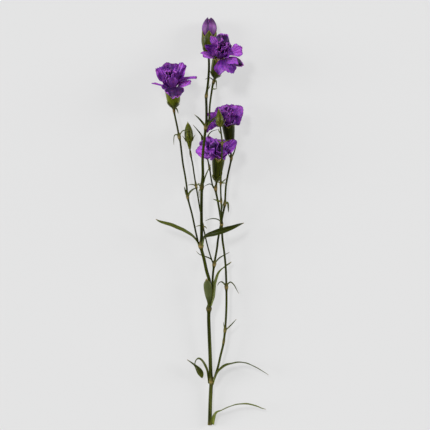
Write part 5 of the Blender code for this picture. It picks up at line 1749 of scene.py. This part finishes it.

# %% [markdown]
# ## The half-open bud
# Its petals are still furled, each wrapped over the next like a rolled umbrella. They could be
# rolled up from the open petals' numbers, but furled ones touch all the way. So they are strips
# of one turned profile instead, at slightly different depths, and the painted shade of their wide
# rims shows as dark seams.

# %% Furled petals
FURL_ROWS = 24
FURL_COLUMNS = 20
FURL_THICKNESS = 0.36
FURL_FOOT = -4.0  # height of the furled petals' feet, below the calyx's mouth
FURL_PROFILE = [
    (FURL_FOOT, 3.6), (0.0, 5.6), (4.0, 7.1), (8.0, 7.7), (12.0, 7.2), (16.0, 5.5), (19.0, 3.6),
    (20.5, 1.6)]
FURL_NOTCH = 0.7
# Each wrapped petal: its middle and half its width in degrees, its height, how far out it lies
# from the profile, and its tone. The first three are the dark core that shows at the top.
FURLED = [
    (0, 60, 18.0, -1.0, -1.0), (120, 60, 18.0, -1.0, -0.8), (240, 60, 18.0, -1.0, -0.8),
    (28, 42, 20.0, 0.0, 0.4), (-46, 34, 20.3, -0.1, 0.2), (114, 40, 19.5, -0.2, -0.2),
    (186, 40, 19.5, 0.0, 0.0), (-102, 40, 19.5, -0.1, -0.3)]


def furl_radius(height):
    """Radius of the furled bud: blurred above the calyx, sharp where it is hidden inside."""
    if height > 1:
        return smooth_radius(FURL_PROFILE[1:], height)
    return profile_radius(FURL_PROFILE, height)


def furled_grid(middle, half_wide, tall, out, notches):
    """The middle surface of one wrapped petal."""
    grid = []
    for i in range(FURL_ROWS + 1):
        s = i / FURL_ROWS
        share = 0.75 + 0.35 * ease(s / 0.5) - 0.3 * ease((s - 0.55) / 0.45)
        row = []
        for j in range(FURL_COLUMNS + 1):
            t = 2 * j / FURL_COLUMNS - 1
            height = FURL_FOOT + (tall - FURL_FOOT) * s * (1 - 0.10 * s * t * t)
            height -= notches[j] * ease((s - 0.85) / 0.15)
            radius = furl_radius(height)
            radius += out + 0.35 * (1 - t * t) + 0.16 * math.sin(7 * t + middle) * s
            angle = math.radians(middle + t * half_wide * share)
            row.append(round_place(radius, angle, height))
        grid.append(row)
    return grid


draw = random.Random(5)
skin = Skin()
for middle, half_wide, tall, out, tone in FURLED:
    notches = [FURL_NOTCH * draw.random() * (j % 2) for j in range(FURL_COLUMNS + 1)]
    grid = furled_grid(middle, half_wide, tall, out, notches)
    skin.sheet(grid, FURL_THICKNESS, back_first=True, tone=tone)
top_bud = BLOOMS["top_bud"]
mouth = head_matrix(top_bud.foot, top_bud.axis, top_bud.calyx[-1][0])
furl = finish_piece(skin, "top_bud_furl", bud_petal_finish, mouth)
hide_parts("top_bud_petals")
print(furl.name, len(furl.data.polygons), "faces")

# %% [markdown]
# ## Closed buds
# A closed bud is five green sepals that meet at a point, with a shallow groove where two of them
# join, and four narrow bracts at its foot. Five separate sepals would leave gaps at the tip. One
# turned body with five grooves pressed into it is closed all round.

# %% Their profiles
# Each bud: its foot, its axis, its profile as (height, radius), and the height of its bracts
BUD_PROFILE = [
    (0, 1.2), (3.0, 1.9), (7.0, 2.6), (9.0, 4.0), (14.0, 4.7), (19.0, 4.3), (24.0, 2.7),
    (28.0, 0.7)]
WIDE_BUD_PROFILE = [
    (0, 1.1), (1.5, 2.2), (5.0, 4.0), (8.0, 4.3), (11.5, 3.4), (15.0, 1.9), (19.0, 0.6)]
BUDS = {
    "left_bud": (LEFT_BUD_FOOT, (-0.075, 1.0, -0.03), BUD_PROFILE, 8.5),
    "right_bud": (RIGHT_BUD_FOOT, (-0.1, 1.0, -0.05), WIDE_BUD_PROFILE, 1.0),
}
print("closed buds, mm long:", [profile[-1][0] for _, _, profile, _ in BUDS.values()])

# %% A closed bud
BUD_COLUMNS = 50
BUD_RINGS = 40
BUD_SUNK = 0.3  # the bud starts this far inside the stalk's end
BUD_TIP = 0.8  # the sepals' tips stand this far above the profile
GROOVE_DEPTH, GROOVE_WIDTH = 0.07, 0.09  # as shares of the radius and of a sepal
BUD_BRACTS = ((80, 4.2), (260, 4.2), (350, 3.4), (170, 3.4))  # turn and width of each
BRACT_SUNK, BRACT_LENGTH, BRACT_FLARE = 0.4, 6.5, 2.2


def bud_skin(profile):
    """Five sepals that meet at a point."""
    top = profile[-1][0]
    rings, marks = [], []
    for i in range(BUD_RINGS + 1):
        height = (top + BUD_TIP) * i / BUD_RINGS
        point = min(1.0, 1.15 * (1 - max(0.0, height - top + 3) / 4.5))
        ring, row = [], []
        for k in range(BUD_COLUMNS):
            angle = 2 * math.pi * k / BUD_COLUMNS + math.pi
            share = (angle * TEETH / (2 * math.pi)) % 1.0
            joint = math.exp(-((min(share, 1 - share) / GROOVE_WIDTH) ** 2))
            groove = 1 - GROOVE_DEPTH * joint * ease(height / top / 0.5)
            radius = smooth_radius(profile, height) * groove * (1 if height < top else 0.45)
            ring.append(round_place(max(0.25, radius * point), angle, height - BUD_SUNK))
            row.append(0.5 * ease((height / top - 0.86) / 0.14) + 0.4 * ease(1 - height / 2.5))
        rings.append(ring)
        marks.append(row)
    skin = Skin()
    skin.turned(rings, marks)
    return skin


for name, (foot, axis, profile, bract_height) in BUDS.items():
    skin = bud_skin(profile)
    for turn, width in BUD_BRACTS:
        add_scale(
            skin, profile, turn, bract_height - BRACT_SUNK, BRACT_LENGTH, width, BRACT_FLARE)
    closed = finish_piece(skin, name + "_sepals", bud_finish, head_matrix(foot, axis))
    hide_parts(name)
    print(closed.name, len(closed.data.polygons), "faces")
